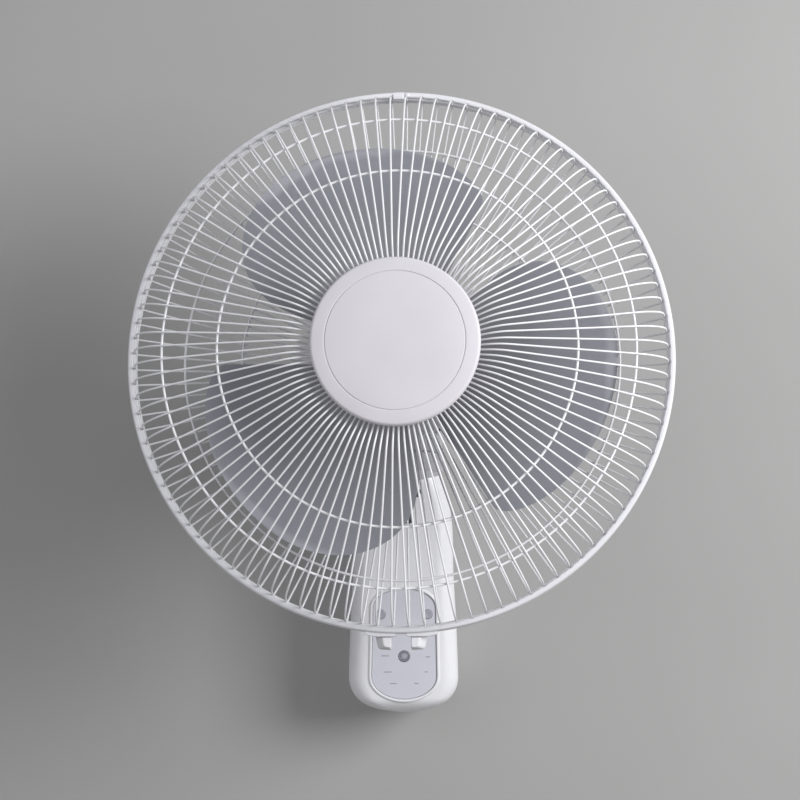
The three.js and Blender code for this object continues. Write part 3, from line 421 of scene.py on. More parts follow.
# %% Outlines stacked into pieces
def pillow(name, outline, profile, place, flat="up", closed=False):
    """Copies of an outline, one for each (inset, height) of the profile; an inset moves a point of
    the outline inwards along its normal. The first and last copies are closed by flat ends."""
    outline = np.asarray(outline, float)
    along = np.roll(outline, -1, axis=0) - np.roll(outline, 1, axis=0)
    along /= np.linalg.norm(along, axis=1)[:, None]
    normal = np.stack([along[:, 1], -along[:, 0]], axis=-1)
    if ((outline - outline.mean(axis=0)) * normal).sum() < 0:
        normal = -normal
    inset, height = np.asarray(profile, float).T
    flat_points = outline[None] - normal[None] * inset[:, None, None]
    tall = np.broadcast_to(height[:, None], flat_points.shape[:2])
    p, q = flat_points[..., 0], flat_points[..., 1]
    order = {"up": [p, q, tall], "ahead": [p, tall, q]}[flat]
    n = len(outline)
    quads = grid_quads(len(inset), n, close_rows=closed)
    ends = () if closed else (np.arange(n)[::-1], np.arange(n) + (len(inset) - 1) * n)
    return mesh_piece(name, place(np.stack(order, axis=-1)), quads, ends)


def edge_profile(low, high, radius, steps=4):
    """(inset, height) from one flat end to the other, with a quarter round at each edge and a
    narrow flat rim inside it, which keeps the shading of the end flat."""
    a = np.linspace(0, np.pi / 2, steps + 1)
    start = np.stack([radius * (1 - np.sin(a)), low + radius * (1 - np.cos(a))], axis=-1)
    end = np.stack([radius * (1 - np.cos(a)), high - radius * (1 - np.sin(a))], axis=-1)
    rim = min(0.4, 0.4 * radius)
    return np.concatenate([[[radius + rim, low]], start, end, [[radius + rim, high]]])


def joined(name, *pieces):
    """Several meshes as one object."""
    work = bmesh.new()
    for piece in pieces:
        work.from_mesh(piece.data)
    mesh = bpy.data.meshes.new(name)
    work.to_mesh(mesh)
    work.free()
    for piece in pieces:
        bpy.data.objects.remove(piece)
    return shown(name, mesh)


# %% [markdown]
# ## The rim hoop
# A moulded channel clamps both guards together. Seen from the front it is a smooth round bead; inside
# it has two fine ridges, and a notch wherever a wire comes in. One hundred and eight cuts would take
# long, so the notches are a small wave in the radius of the front lip, with one trough at each wire.

# %% Hoop profile and notches
hoop_white = moulded("hoop_moulding", (0.78, 0.78, 0.81), gloss=(0.30, 0.40), drift=0.02)
LIP_R, LIP_AHEAD = 211.0, 2.0
NOTCH_DEEP, NOTCH_WIDE = 0.7, 1.3
hoop_corners = [[214.7, -10.4], [214.85, -3], [214.7, 3.0], [213.6, 5.0], [210.4, 5.0],
                [209.7, 3.4], [210.6, 2.3], [213.4, 2.2], [213.7, -1.6], [213.1, -2.2],
                [213.7, -2.8], [213.1, -3.6], [213.7, -4.4], [213.7, -8.4], [211.4, -9.0],
                [211.5, -10.4], [213.4, -10.6]]


def notches(r, h, a):
    """The front lip draws back by up to 0.7 mm where a wire passes: a bell curve over the distance
    along the lip from the wire."""
    aside = np.abs((a / STEP) % 1 - 0.5) * STEP * 213
    lip = (r < LIP_R) & (h > LIP_AHEAD)
    return np.where(lip, NOTCH_DEEP * np.exp(-((aside / NOTCH_WIDE) ** 2)), 0)


hoop_band = turned("hoop_band", rounded(hoop_corners, 0.8, steps=3), WIRES * 10, on_rim, sharp=0,
                   wave=notches)
print("hoop band:", len(hoop_band.data.polygons), "faces")

# %% [markdown]
# At the foot, two long lugs stiffen the hoop beside its latch. At the top a hook holds the front guard
# while the latch is open. They are moulded in one with the hoop, so they join its mesh.

# %% Lugs and hook
parts = [hoop_band]
for side in (-1, 1):
    near, far = side * 4.0, side * 28.0
    lug_outline = rounded([[near, -212.5], [near, -216.9], [near + side * 17, -217.0],
                           [far, -215.2], [far, -211.6]], [1.6, 1.8, 4, 3, 1.6], steps=4)
    parts.append(pillow(f"lug_{side}", lug_outline, edge_profile(-9.0, 2.6, 0.7), on_rim,
                        flat="ahead"))
hook_blocks = [("back", box_outline(-4.5, 4.5, 207.3, 214.4, 1.2), -3.0, 4.4),
               ("claw", box_outline(-4.6, 3.6, 208.0, 212.6, 1.2), 4.0, 6.1),
               ("tooth", box_outline(5.4, 8.4, 210.0, 213.0, 1.0), 3.0, 6.0)]
for label, outline, low, high in hook_blocks:
    parts.append(pillow(f"hook_{label}", outline, edge_profile(low, high, 0.5), on_rim,
                        flat="ahead"))
hoop = joined("rim_hoop_band", *parts)
dress(hoop, "head", "white_shell", hoop_white, "rim_hoop")
print("hoop:", len(hoop.data.polygons), "faces")

# %% [markdown]
# Under the rim two tabs hang from the latch. Pinching them together frees the hoop. Each is a wedge
# that narrows downwards and towards the front, so that the thumb finds a slanted flank. A bevelled box
# has no slant, so each tab is a blend from the outline behind to the smaller outline in front.

# %% Latch tabs
def wedge(name, behind, front, low, high, place):
    """Blends from one outline to another of as many points, with a rounded front edge: each row
    has a share of the front outline, a shrink towards its own middle, and a height."""
    rows = [(0, 0.7, 0), (0, 0.97, 0), (0, 1, 0.04), (0.1, 1, 0.2), (0.32, 1, 0.45), (0.6, 1, 0.7),
            (0.85, 0.99, 0.88), (0.97, 0.95, 0.97), (1, 0.88, 1), (1, 0.6, 1)]
    points = []
    for share, shrink, height in rows:
        outline = behind * (1 - share) + front * share
        outline = outline.mean(axis=0) + (outline - outline.mean(axis=0)) * shrink
        tall = np.full(len(outline), low + (high - low) * height)
        points.append(np.stack([outline[:, 0], tall, outline[:, 1]], axis=-1))
    n = len(behind)
    ends = (np.arange(n)[::-1], np.arange(n) + (len(rows) - 1) * n)
    return mesh_piece(name, place(np.array(points)), grid_quads(len(rows), n), ends)


for label, side in (("left", -1), ("right", 1)):
    inner = side * 7.2
    behind = rounded([[inner, -216.7], [inner + side * 13, -216.7], [inner + side * 10.6, -226.4],
                      [inner + side * 0.4, -227.0]], [0.8, 1.2, 2.4, 1.4], steps=5)
    front = rounded([[inner + side * 0.6, -217.4], [inner + side * 7.4, -217.4],
                     [inner + side * 6.2, -224.8], [inner + side * 0.9, -225.4]],
                    [0.8, 1.2, 2.0, 1.4], steps=5)
    tab = wedge(f"latch_{label}_wedge", behind, front, -8.0, 1.4, on_rim)
    stem_outline = box_outline(min(side * 8, side * 11), max(side * 8, side * 11), -218, -215.6, 0.6)
    stem = pillow(f"latch_{label}_stem", stem_outline, edge_profile(-5.3, -1.3, 0.2), on_rim,
                  flat="ahead")
    tab = joined(f"latch_wedge_{label}", tab, stem)
    dress(tab, f"{label}_latch", "white_shell", hoop_white, f"latch_tab_{label}")
print("each latch tab:", len(tab.data.polygons), "faces")

# %% [markdown]
# ## The badge
# The disc in the middle is plain, satin and a touch lilac. It is very slightly domed, with a soft edge
# and one fine engraved circle. A bevelled cylinder would lack the dome, and a bump map the depth of
# the line, so both are in the turned profile: the circle is a notch about a millimetre wide.

# %% Badge
badge_white = moulded("badge_satin", (0.69, 0.67, 0.705), gloss=(0.45, 0.58), peel=1600, depth=2e-5)
ENGRAVED = 52.6
badge_corners = [[0, 66.3], [56, 66.3], [61.5, 73.5], [63.9, 73.6], [64.0, 77.8], [62.9, 79.8],
                 [58, 80.6], [ENGRAVED + 0.55, 81.2], [ENGRAVED, 80.4], [ENGRAVED - 0.55, 81.3],
                 [34, 82.6], [0, 83.3]]
badge_profile = rounded(badge_corners, [0, 2, 1.5, 1, 1.2, 1.4, 3, 0.12, 0.1, 0.12, 14, 0],
                        steps=5, closed=False)
badge = turned("badge_disc", badge_profile, 180, on_rim, closed=False)
dress(badge, "head", "badge_white", badge_white, "guard_badge")
print("badge:", len(badge.data.polygons), "faces")

# %% [markdown]
# ## The impeller
# Its plastic is smoky and lets a little light through. Glass would look too clear, so the shader
# stays a grey plastic with an alpha just under one. Its colour follows the distance from the fan axis,
# which is worked out from Object coordinates and turns with the blades: painted shade darkens it
# towards the hub, and a painted highlight lightens the thin tip rim.

# %% Smoky plastic
def axis_distance(nodes, links, place):
    """Distance of a point from the fan axis: the length of its cross product with the axis."""
    offset = nodes.new("ShaderNodeVectorMath")
    offset.operation = "SUBTRACT"
    offset.inputs[1].default_value = SWING
    cross = nodes.new("ShaderNodeVectorMath")
    cross.operation = "CROSS_PRODUCT"
    cross.inputs[1].default_value = AHEAD
    length = nodes.new("ShaderNodeVectorMath")
    length.operation = "LENGTH"
    links.new(place, offset.inputs[0])
    links.new(offset.outputs["Vector"], cross.inputs[0])
    links.new(cross.outputs["Vector"], length.inputs[0])
    return length.outputs["Value"]


def smoky_plastic():
    """Grey plastic, a little see-through: painted shade makes it darker and neutral near the hub; it
    is bluer and paler outwards, and a painted highlight makes the last millimetres of the tip paler."""
    made, nodes, links, shader, place = new_finish("smoky_blade")
    shade_and_highlight_reach = nodes.new("ShaderNodeMath")
    shade_and_highlight_reach.operation = "MULTIPLY_ADD"
    links.new(noise(nodes, links, place, 16, detail=3), shade_and_highlight_reach.inputs[0])
    shade_and_highlight_reach.inputs[1].default_value = 0.02
    links.new(axis_distance(nodes, links, place), shade_and_highlight_reach.inputs[2])
    out = nodes.new("ShaderNodeMapRange")
    out.inputs["From Min"].default_value = 0.03
    out.inputs["From Max"].default_value = 0.176
    links.new(shade_and_highlight_reach.outputs["Value"], out.inputs["Value"])
    # painted shade: the darker stops towards the hub; painted highlight: the palest stop at the tip rim
    links.new(ramp(nodes, links, out.outputs["Result"],
                   [(0.0, (0.17, 0.17, 0.182)), (0.5, (0.26, 0.262, 0.285)),
                    (0.955, (0.315, 0.32, 0.355)), (0.985, (0.43, 0.432, 0.47))]),
              shader.inputs["Base Color"])
    links.new(span(nodes, links, noise(nodes, links, place, 45), 0.3, 0.42),
              shader.inputs["Roughness"])
    bump(nodes, links, shader, noise(nodes, links, place, 700, detail=2), 0.25, 4e-5)
    shader.inputs["IOR"].default_value = 1.49
    shader.inputs["Alpha"].default_value = 0.94
    return made


blade_grey = smoky_plastic()
print("finish:", blade_grey.name)

# %% [markdown]
# Three broad blades turn with the shaft. The outline of a blade is given by its leading and trailing
# edge, in degrees from its middle, at each radius: both run straight out and then round off to the
# tip. The face climbs ahead from the leading edge to the trailing edge, and dishes a little. A bent
# plane with Solidify would have square edges; here the section is a closed line with round ends.

# %% Blades
BLADE_R = 168.5
BLADE_ROOT_R = 31.0
HUB_R = 36
BLADE_AT = 108.0


def tip_round(r, start):
    """0 up to the start radius, then a quarter circle that reaches 1 at the tip."""
    s = np.clip((r - start) / (BLADE_R - start), 0, 1)
    return 1 - np.sqrt(np.clip(1 - s * s, 0, 1))


def blade(name, middle):
    """Rows run outwards and columns run round the section: v goes along the front skin from the
    leading to the trailing edge and back along the rear skin, with round edges of half thickness."""
    rows, columns = 90, 96
    out = np.sin(np.linspace(0, np.pi / 2, rows))[:, None]
    r = BLADE_ROOT_R + (BLADE_R - 0.02 - BLADE_ROOT_R) * out
    lead = -46.5 + 56.5 * tip_round(r, 137)
    trail = 50.5 - 40.5 * tip_round(r, 90)
    v = np.linspace(0, 2 * np.pi, columns, endpoint=False)[None, :]
    share = (1 - np.cos(v)) / 2
    degrees = lead + (trail - lead) * share
    reach = (r - HUB_R) / (BLADE_R - HUB_R)
    height = -6 + 26 * reach + (16 - 3 * reach) * degrees / 48 - 1.6 * np.sin(np.pi * share)
    half = (1.05 - 0.35 * reach) * np.sign(np.sin(v)) * np.abs(np.sin(v)) ** 0.35
    angle = np.radians(degrees + middle)
    points = np.stack([r * np.cos(angle), height + half, r * np.sin(angle)], axis=-1)
    n = columns
    ends = (np.arange(n)[::-1], np.arange(n) + (rows - 1) * n)
    return mesh_piece(name, on_rim(points), grid_quads(rows, n), ends, sharp=60)


blades = joined("fan_blades", *[blade(f"blade_{k}", BLADE_AT + 120 * k) for k in range(3)])
dress(blades, "rotor_body", "blade_grey", blade_grey, "impeller")
print("blades:", len(blades.data.polygons), "faces")

# %% [markdown]
# The blades grow from a deep cup whose sleeve slides onto the shaft. A pin through the shaft sits in a
# groove across the sleeve's end and carries the drive. In front a spinner with finger flutes screws
# on. The groove crosses the turned form, so it can't be in the profile: a boolean cuts it. Booleans
# are applied at once, so that every piece ends as a plain mesh.

# %% Cutters
def cut_away(piece, *tools):
    """Takes the tools out of the piece, one boolean after another, and removes them."""
    for tool in tools:
        modifier = piece.modifiers.new("Cut", "BOOLEAN")
        modifier.object = tool
        modifier.operation = "DIFFERENCE"
        modifier.solver = "EXACT"
        bpy.context.view_layer.update()
        graph = bpy.context.evaluated_depsgraph_get()
        mesh = bpy.data.meshes.new_from_object(piece.evaluated_get(graph))
        mesh.name = piece.name
        piece.modifiers.clear()
        piece.data = mesh
        smooth(mesh)
        bpy.data.objects.remove(tool)
    return piece


def punch(name, outline, low, high, place, flat="ahead"):
    """A cutter with straight sides: the outline carried from one height to the other."""
    return pillow(name, outline, [[0, low], [0, high]], place, flat=flat)


def plug(name, radius, start, end, place, sides=64, axis="ahead"):
    """A round cutter with flat ends."""
    return turned(name, [[0, start], [radius, start], [radius, end], [0, end]], sides, place,
                  closed=False, axis=axis)


# %% Hub and spinner
hub_corners = [[4.4, -40], [12, -40], [12, 2], [33, 2], [33, -30], [HUB_R, -30], [HUB_R, 2], [31, 7],
               [14, 9], [4.4, 9]]
hub = turned("impeller_hub", rounded(hub_corners, [0.5, 1, 2, 2, 0.6, 0.6, 3, 4, 1, 0.5]), 96,
             on_rim)
cut_away(hub, punch("groove", box_outline(-20, 20, -1.8, 1.8, 0.3), -44, -37.2, on_rim))
dress(hub, "rotor_body", "blade_grey", blade_grey, "impeller")
spinner_corners = [[0, 20], [8, 19], [13, 14], [14, 9.3], [4.4, 9.3], [4.4, 14], [0, 14]]


def grip(r, h, a):
    """Twelve shallow flutes round the spinner for the fingers."""
    return np.where((r > 12) & (h > 9.4), 0.35 * (np.cos(12 * a) - 1), 0)


spinner = turned("spinner_cap", rounded(spinner_corners, [0, 3, 2, 0.5, 0.5, 0.5, 0], closed=False),
                 144, on_rim, closed=False, wave=grip)
dress(spinner, "rotor_body", "blade_grey", blade_grey, "spinner_nut")
print("hub:", len(hub.data.polygons), "faces, spinner:", len(spinner.data.polygons))

# %% [markdown]
# ## The column
# The body on the wall is a moulding in two shells. From the front it is a tall shape that narrows to a
# round top, with a half-elliptical foot; from above it is a D with soft front corners. It could be
# modelled as a subdivided box, but two functions of height are easier to fit to measured widths: the
# half width, and the depth of the front.

# %% Half width and front depth of the column
BOTTOM, TOP, FOOT, PARTING, BACK = -124.0, 108.0, 31.0, 38.0, 2.4
PIVOT_OUT, PIVOT_UP = 60.0, 88.0


def smooth_through(places, values, x):
    """A cubic through the points whose slope at each is the mean of its neighbours' slopes."""
    p, v = np.asarray(places, float), np.asarray(values, float)
    slope = np.diff(v) / np.diff(p)
    tangent = np.concatenate([[slope[0]], (slope[1:] + slope[:-1]) / 2, [slope[-1]]])
    k = np.clip(np.searchsorted(p, x) - 1, 0, len(p) - 2)
    wide = p[k + 1] - p[k]
    t = np.clip((x - p[k]) / wide, 0, 1)
    return ((1 + 2 * t) * (1 - t) ** 2 * v[k] + t * (1 - t) ** 2 * wide * tangent[k]
            + t**2 * (3 - 2 * t) * v[k + 1] + t**2 * (t - 1) * wide * tangent[k + 1])


def half_width(z):
    """An ellipse of exponent 2.1 over the foot, then a smooth curve through measured widths."""
    up = np.clip((z - BOTTOM) / FOOT, 0, 1)
    foot = 8 + 40 * (1 - (1 - up) ** 2.1) ** (1 / 2.1)
    places = [-93, -48, -4, 43, 65, 79, 91, 100, 105, 108]
    widths = [48, 46.4, 43.9, 42.4, 38.5, 34, 28, 21, 14, 7]
    return np.where(z < BOTTOM + FOOT, foot, smooth_through(places, widths, z))


def front_depth(z):
    """80 mm, falling away in a curve over the foot and over the round top."""
    foot = np.clip(1 - (z - BOTTOM) / 14, 0, 1)
    head = np.clip((z - PIVOT_UP) / (TOP - PIVOT_UP), 0, 1)
    lean = 2 * np.clip((z - 40) / 40, 0, 1)
    return 80 + lean - 14 * foot**2 - 17 * (1 - np.sqrt(1 - head**2))


print("column half width at the panel:", round(float(half_width(np.array([-64.0]))[0]), 1))

# %% [markdown]
# Each shell has a wall of even thickness. Solidify gives that too, but at the tight top its inner skin
# can cross itself and spoil the cuts that follow. So the inner skin is a second U, one wall further
# in, and both make one closed surface.

# %% Shells of the column
t = np.linspace(0, 1, 120)
levels = BOTTOM + (TOP - BOTTOM) * (0.5 - 0.5 * np.cos(np.pi * t)) ** 0.9


def u_line(half, near, far, corner):
    """At each level, the right half of a U: along the flank from the near to the far depth, round a
    corner, and across to the middle. Its mirror image follows."""
    half, far, corner = (np.broadcast_to(v, half.shape)[:, None] for v in (half, far, corner))
    way = np.sign(far - near)
    u = np.linspace(0, 1, 9)[None, :-1]
    flank = np.stack([half + 0 * u, near + (far - way * corner - near) * u], axis=-1)
    a = np.linspace(0, np.pi / 2, 14)[None, :]
    bend = np.stack([half - corner * (1 - np.cos(a)), far - way * corner * (1 - np.sin(a))],
                    axis=-1)
    w = np.linspace(0, 1, 11)[None, 1:]
    face = np.stack([(half - corner) * (1 - w), far + 0 * w], axis=-1)
    right = np.concatenate([flank, bend, face], axis=1)
    return np.concatenate([right, right[:, -2::-1] * [-1, 1]], axis=1)


def column_shell(name, near, far_of, corner, wall=2.4):
    """An outer U at each level and, one wall further in, an inner one that runs backwards: together
    a closed loop. The first and last loop are drawn in to the middle, which closes foot and top."""
    loops = []
    for inset, z in ((0, levels), (wall, np.clip(levels, BOTTOM + wall, TOP - wall))):
        half, far = half_width(z) - inset, far_of(z)
        far = far - np.sign(far - near) * inset
        line = u_line(half, near, far, np.minimum(max(corner - inset, 0.3), half - 0.5))
        loops.append(np.concatenate([line, np.broadcast_to(z[:, None, None],
                                                           (*line.shape[:2], 1))], axis=-1))
    loop = np.concatenate([loops[0], loops[1][:, ::-1]], axis=1)
    rows = np.concatenate([loop[:1] * [0, 1, 1], loop, loop[-1:] * [0, 1, 1]])
    return mesh_piece(name, on_wall(rows), grid_quads(len(rows), loop.shape[1]))


print("levels of the column:", len(levels))

# %% [markdown]
# The outline of the control panel is needed for its seat in the cover, for the bead round it and for
# the plate itself. So it is a function that can also draw it a little larger or smaller.

# %% Panel outline
PANEL_TOP, PANEL_BOTTOM, ARCH, BOWL = -15.0, -110.5, 16.3, 19.6


def panel_outline(grow=0.0, count=40):
    """A half ellipse on top, straight sides that widen downwards, and a half ellipse below."""
    a = np.linspace(0, np.pi, count)
    top = np.stack([(27 + grow) * np.cos(a), PANEL_TOP - ARCH + (ARCH + grow) * np.sin(a)], axis=-1)
    low = np.stack([-(28.2 + grow) * np.cos(a), PANEL_BOTTOM + BOWL - (BOWL + grow) * np.sin(a)],
                   axis=-1)
    u = np.linspace(0, 1, 12)[1:-1, None]
    left = top[-1] + (low[0] - top[-1]) * u
    right = low[-1] + (top[0] - low[-1]) * u
    return np.concatenate([top, left, low, right])


print("panel outline:", len(panel_outline()), "points")

# %% [markdown]
# The cover is the front shell. Booleans cut what a mould's cores would: the slot that the neck passes
# through, the deep round screw hole, a small square recess, and the seat behind the control panel.
# They could all be one mesh modelled by hand, but a cutter per opening keeps each easy to change.

# %% Front cover
HOLE_AT = (3.4, 46.0)
HOLE_R = 4.6
DRUM_R, DRUM_HALF = 21.5, 12
SLOT_HALF = DRUM_HALF + 0.5
slot_outline = box_outline(-SLOT_HALF, SLOT_HALF, PIVOT_OUT, 92, 0.2)
low_outline = box_outline(-SLOT_HALF, SLOT_HALF, PIVOT_OUT + 10, 92, 0.2)


def at_wall(at):
    """Turned pieces on the column: the axis points out of the wall through the given place."""
    return moved(on_wall, [at[0], 0, at[1]])


cover = column_shell("column_cover", PARTING + 0.15, front_depth, 16)
cover_tools = [
    plug("drum_slot", DRUM_R + 0.3, -SLOT_HALF, SLOT_HALF, moved(on_wall, [0, PIVOT_OUT, PIVOT_UP]),
         sides=96, axis="across"),
    punch("top_slot", slot_outline, 66.2, 125, on_wall, flat="up"),
    punch("low_slot", low_outline, 64.8, 70, on_wall, flat="up"),
    plug("hole", HOLE_R, 60, 95, at_wall(HOLE_AT)),
    punch("recess", box_outline(12.4, 15.8, 68.2, 71.6, 0.3), 78.6, 95, on_wall),
    punch("seat", panel_outline(0.4), 78.4, 90, on_wall),
    punch("well", panel_outline(-1.2), 70, 90, on_wall),
]
cut_away(cover, *cover_tools)
dress(cover, "base", "white_shell", white, "front_cover")

sleeve_corners = [[HOLE_R, 79.6], [6.9, 77.6], [6.9, 64.6], [1.8, 64.6], [1.8, 67], [HOLE_R, 67]]
sleeve = turned("screw_sleeve", rounded(sleeve_corners, 0.3), 64, at_wall(HOLE_AT))
dress(sleeve, "base", "white_shell", white)
print("column cover:", len(cover.data.polygons), "faces")

# %% [markdown]
# A raised bead frames the panel. A bevelled curve would give a bead with equal sides. This one is a
# small profile carried along the panel's outline; its inner side is steeper, so a dark line of shadow
# lies between bead and panel.

# %% Bead round the panel
bead_profile = rounded([[-0.35, 78.2], [-0.35, 80.9], [-0.9, 81.4], [-2.1, 81.35], [-3.2, 80.2],
                        [-3.3, 79.0]], [0.1, 0.6, 0.6, 0.7, 0.6, 0.1], steps=4)
bead = pillow("panel_bead", panel_outline(), bead_profile, on_wall, flat="ahead", closed=True)
dress(bead, "base", "white_shell", white)
print("bead:", len(bead.data.polygons), "faces")

# %% [markdown]
# The back shell is the same surface, turned to face the wall, so it needs no new function. Four slots
# take the hooks of the wall bracket, and a round hole in the foot takes the rubber gland.

# %% Back shell
GLAND_OUT = 20
back = column_shell("column_back", PARTING - 0.15, lambda z: BACK + 0 * z, 2)
slots = [punch(f"hook_slot_{x}_{z}", box_outline(x - 6, x + 6, z - 2, z + 5, 0.8), -2, 9, on_wall)
         for x in (-24, 24) for z in (52, -58)]
inlet = plug("inlet", 5.7, -130, -115, moved(on_wall, [0, GLAND_OUT, 0]), sides=48, axis="up")
cut_away(back, *slots, inlet)
dress(back, "base", "white_shell", white, "back_shell")
print("column back:", len(back.data.polygons), "faces")

# %% [markdown]
# ## The control panel
# The face is a thin lilac-grey plate with a soft edge. Two round push buttons and the receiver window
# come through it. The window is a smoked lens with a dark rim; separate pieces could make the rim and
# the middle, but one ramp over the distance from the lens's axis is simpler and has no seam.

# %% Finishes of the panel
lilac = moulded("panel_lilac", (0.63, 0.63, 0.69), gloss=(0.38, 0.5), peel=2200, depth=3e-5)
button_grey = moulded("button_grey", (0.40, 0.40, 0.455), gloss=(0.4, 0.55), peel=2400)
mark_grey = moulded("mark_ink", (0.33, 0.33, 0.38), gloss=(0.5, 0.6), peel=3000, depth=1e-5)


def receiver_lens():
    """Smoked lens: a dark rim and a paler middle, from the distance to the lens's own axis."""
    made, nodes, links, shader, place = new_finish("receiver_lens")
    mapping = nodes.new("ShaderNodeMapping")
    mapping.inputs["Location"].default_value = (0, 0, 0.0734)
    flat = nodes.new("ShaderNodeVectorMath")
    flat.operation = "MULTIPLY"
    flat.inputs[1].default_value = (1, 0, 1)
    length = nodes.new("ShaderNodeVectorMath")
    length.operation = "LENGTH"
    links.new(place, mapping.inputs["Vector"])
    links.new(mapping.outputs["Vector"], flat.inputs[0])
    links.new(flat.outputs["Vector"], length.inputs[0])
    out = nodes.new("ShaderNodeMapRange")
    out.inputs["From Max"].default_value = 0.005
    links.new(length.outputs["Value"], out.inputs["Value"])
    links.new(ramp(nodes, links, out.outputs["Result"],
                   [(0.0, (0.40, 0.40, 0.45)), (0.45, (0.36, 0.36, 0.41)), (0.64, (0.2, 0.2, 0.23)),
                    (1.0, (0.27, 0.27, 0.31))]), shader.inputs["Base Color"])
    links.new(span(nodes, links, noise(nodes, links, place, 300), 0.12, 0.22),
              shader.inputs["Roughness"])
    bump(nodes, links, shader, noise(nodes, links, place, 1500), 0.1, 1e-5)
    return made


lens = receiver_lens()
print("finishes so far:", len(bpy.data.materials))

# %% Panel, buttons and window
BUTTONS = {"left": (-20.4, -37.0), "right": (20.4, -37.0)}
EYE = (0.0, -73.4)
panel = pillow("panel_face", panel_outline(), edge_profile(78.6, 80.2, 0.45), on_wall, flat="ahead")
for key, at in BUTTONS.items():
    cut_away(panel, plug(f"hole_{key}", 4.3, 75, 85, at_wall(at)))
cut_away(panel, plug("eye_hole", 5.2, 75, 85, at_wall(EYE)))
dress(panel, "base", "panel_lilac", lilac, "panel_plate")

button_corners = [[0, 80.75], [1.0, 80.72], [2.6, 80.95], [3.5, 81.12], [4.0, 80.6], [4.0, 78.2],
                  [4.8, 78.2], [4.8, 77.3], [0, 77.3]]
for key, at in BUTTONS.items():
    cap = turned(f"push_cap_{key}", rounded(button_corners, [0, 1, 1, 0.5, 0.6, 0.2, 0.2, 0.2, 0],
                                            closed=False), 72, at_wall(at), closed=False)
    dress(cap, f"{key}_button", "button_grey", button_grey, f"button_{key}")
eye_corners = [[0, 80.9], [2.6, 80.7], [3.1, 80.35], [3.4, 80.35], [3.8, 80.75], [4.5, 80.7],
               [4.9, 80.3], [4.9, 78.3], [6.3, 78.3], [6.3, 77.2], [0, 77.2]]
window = turned("receiver_lens", rounded(eye_corners, 0.25, closed=False), 72, at_wall(EYE),
                closed=False)
dress(window, "base", "eye_grey", lens, "receiver_window")
print("panel:", len(panel.data.polygons), "faces")

# %% [markdown]
# Six plain bars of ink are printed on the panel. A mask in the panel's material could draw them, but
# as thin raised skins they stay crisp from close by.

# %% Printed bars
BAR_HALF = 0.45
MARKS = [(-16.6, -73, 7), (-14.4, -87, 7), (-9.4, -97, 6), (20.6, -74, 4), (19.2, -87, 3),
         (10.6, -97, 4)]
bars = [pillow(f"bar_{k}",
               box_outline(x - wide / 2, x + wide / 2, z - BAR_HALF, z + BAR_HALF, 0.4, steps=3),
               edge_profile(80.05, 80.24, 0.05, steps=1), on_wall, flat="ahead")
        for k, (x, z, wide) in enumerate(MARKS)]
marks = joined("panel_marks", *bars)
dress(marks, "base", "button_grey", mark_grey)
print("bars:", len(MARKS))

# %% [markdown]
# ## The neck
# The neck leaves the column at a drum, runs out flat and widens into a round end, on which the head
# turns. A loft between a few sections would do as well; here the plan is two half widths joined by a
# smooth step, stacked as a pillow.

# %% Neck
NECK_LONG, CUP_R = 91, 30


def neck_outline(count=40):
    """Half width 12 near the drum, growing by a smooth step to the round end's half circle of 30."""
    y = np.linspace(0, NECK_LONG, count)
    s = np.clip((y - 26) / 58, 0, 1)
    side = DRUM_HALF + (CUP_R - DRUM_HALF) * s * s * (3 - 2 * s)
    a = np.linspace(0, np.pi, count)[1:-1]
    right = np.stack([side, y], axis=-1)
    nose = np.stack([CUP_R * np.cos(a), NECK_LONG + CUP_R * np.sin(a)], axis=-1)
    left = right[::-1] * [-1, 1]
    return np.concatenate([right, nose, left])


arm = pillow("neck_plate", neck_outline(), edge_profile(-13.3, 2.7, 2.4), on_neck)
drum_corners = [[0, -DRUM_HALF], [DRUM_R, -DRUM_HALF], [DRUM_R, DRUM_HALF], [0, DRUM_HALF]]
drum = turned("neck_drum", rounded(drum_corners, [0, 1.4, 1.4, 0], closed=False), 120, on_neck,
              closed=False, axis="across")
table = turned("neck_table", rounded([[0, 1.7], [26, 1.7], [26, 4.7], [0, 4.7]], [0, 0.5, 0.8, 0],
                                     closed=False), 96,
               moved(on_neck, [0, NECK_LONG, 0]), closed=False, axis="up")
neck = joined("neck_body", arm, drum, table)
dress(neck, "neck", "white_shell", white, "neck_arm")
print("neck:", len(neck.data.polygons), "faces")

# %% [markdown]
# Under the motor sits a tray that holds the swing drive. In plan it is a pear: a half circle round the
# swing axis and a smaller one round the drive motor behind it. The wall is a closed profile carried
# round the pear, and the floor is a flat ring between the pear and a round hole.

# %% Tray
TAIL_R, TAIL_BACK = 22, 42.5
FLOOR, TRAY_TOP, FLOOR_THICK, HOLE_IN_FLOOR = -63.7, -48.5, 1.6, 26.6


def pear_outline(grow=0.0, count=48):
    """Half circle of 30 in front of the swing axis and one of 22 round the drive motor behind it."""
    a = np.linspace(0, np.pi, count)
    front = (CUP_R + grow) * np.stack([np.cos(a), np.sin(a)], axis=-1)
    rear = -(TAIL_R + grow) * np.stack([np.cos(a), np.sin(a)], axis=-1) - [0, TAIL_BACK]
    u = np.linspace(0, 1, 10)[1:-1, None]
    left = front[-1] + (rear[0] - front[-1]) * u
    right = rear[-1] + (front[0] - rear[-1]) * u
    return np.concatenate([front, left, rear, right])


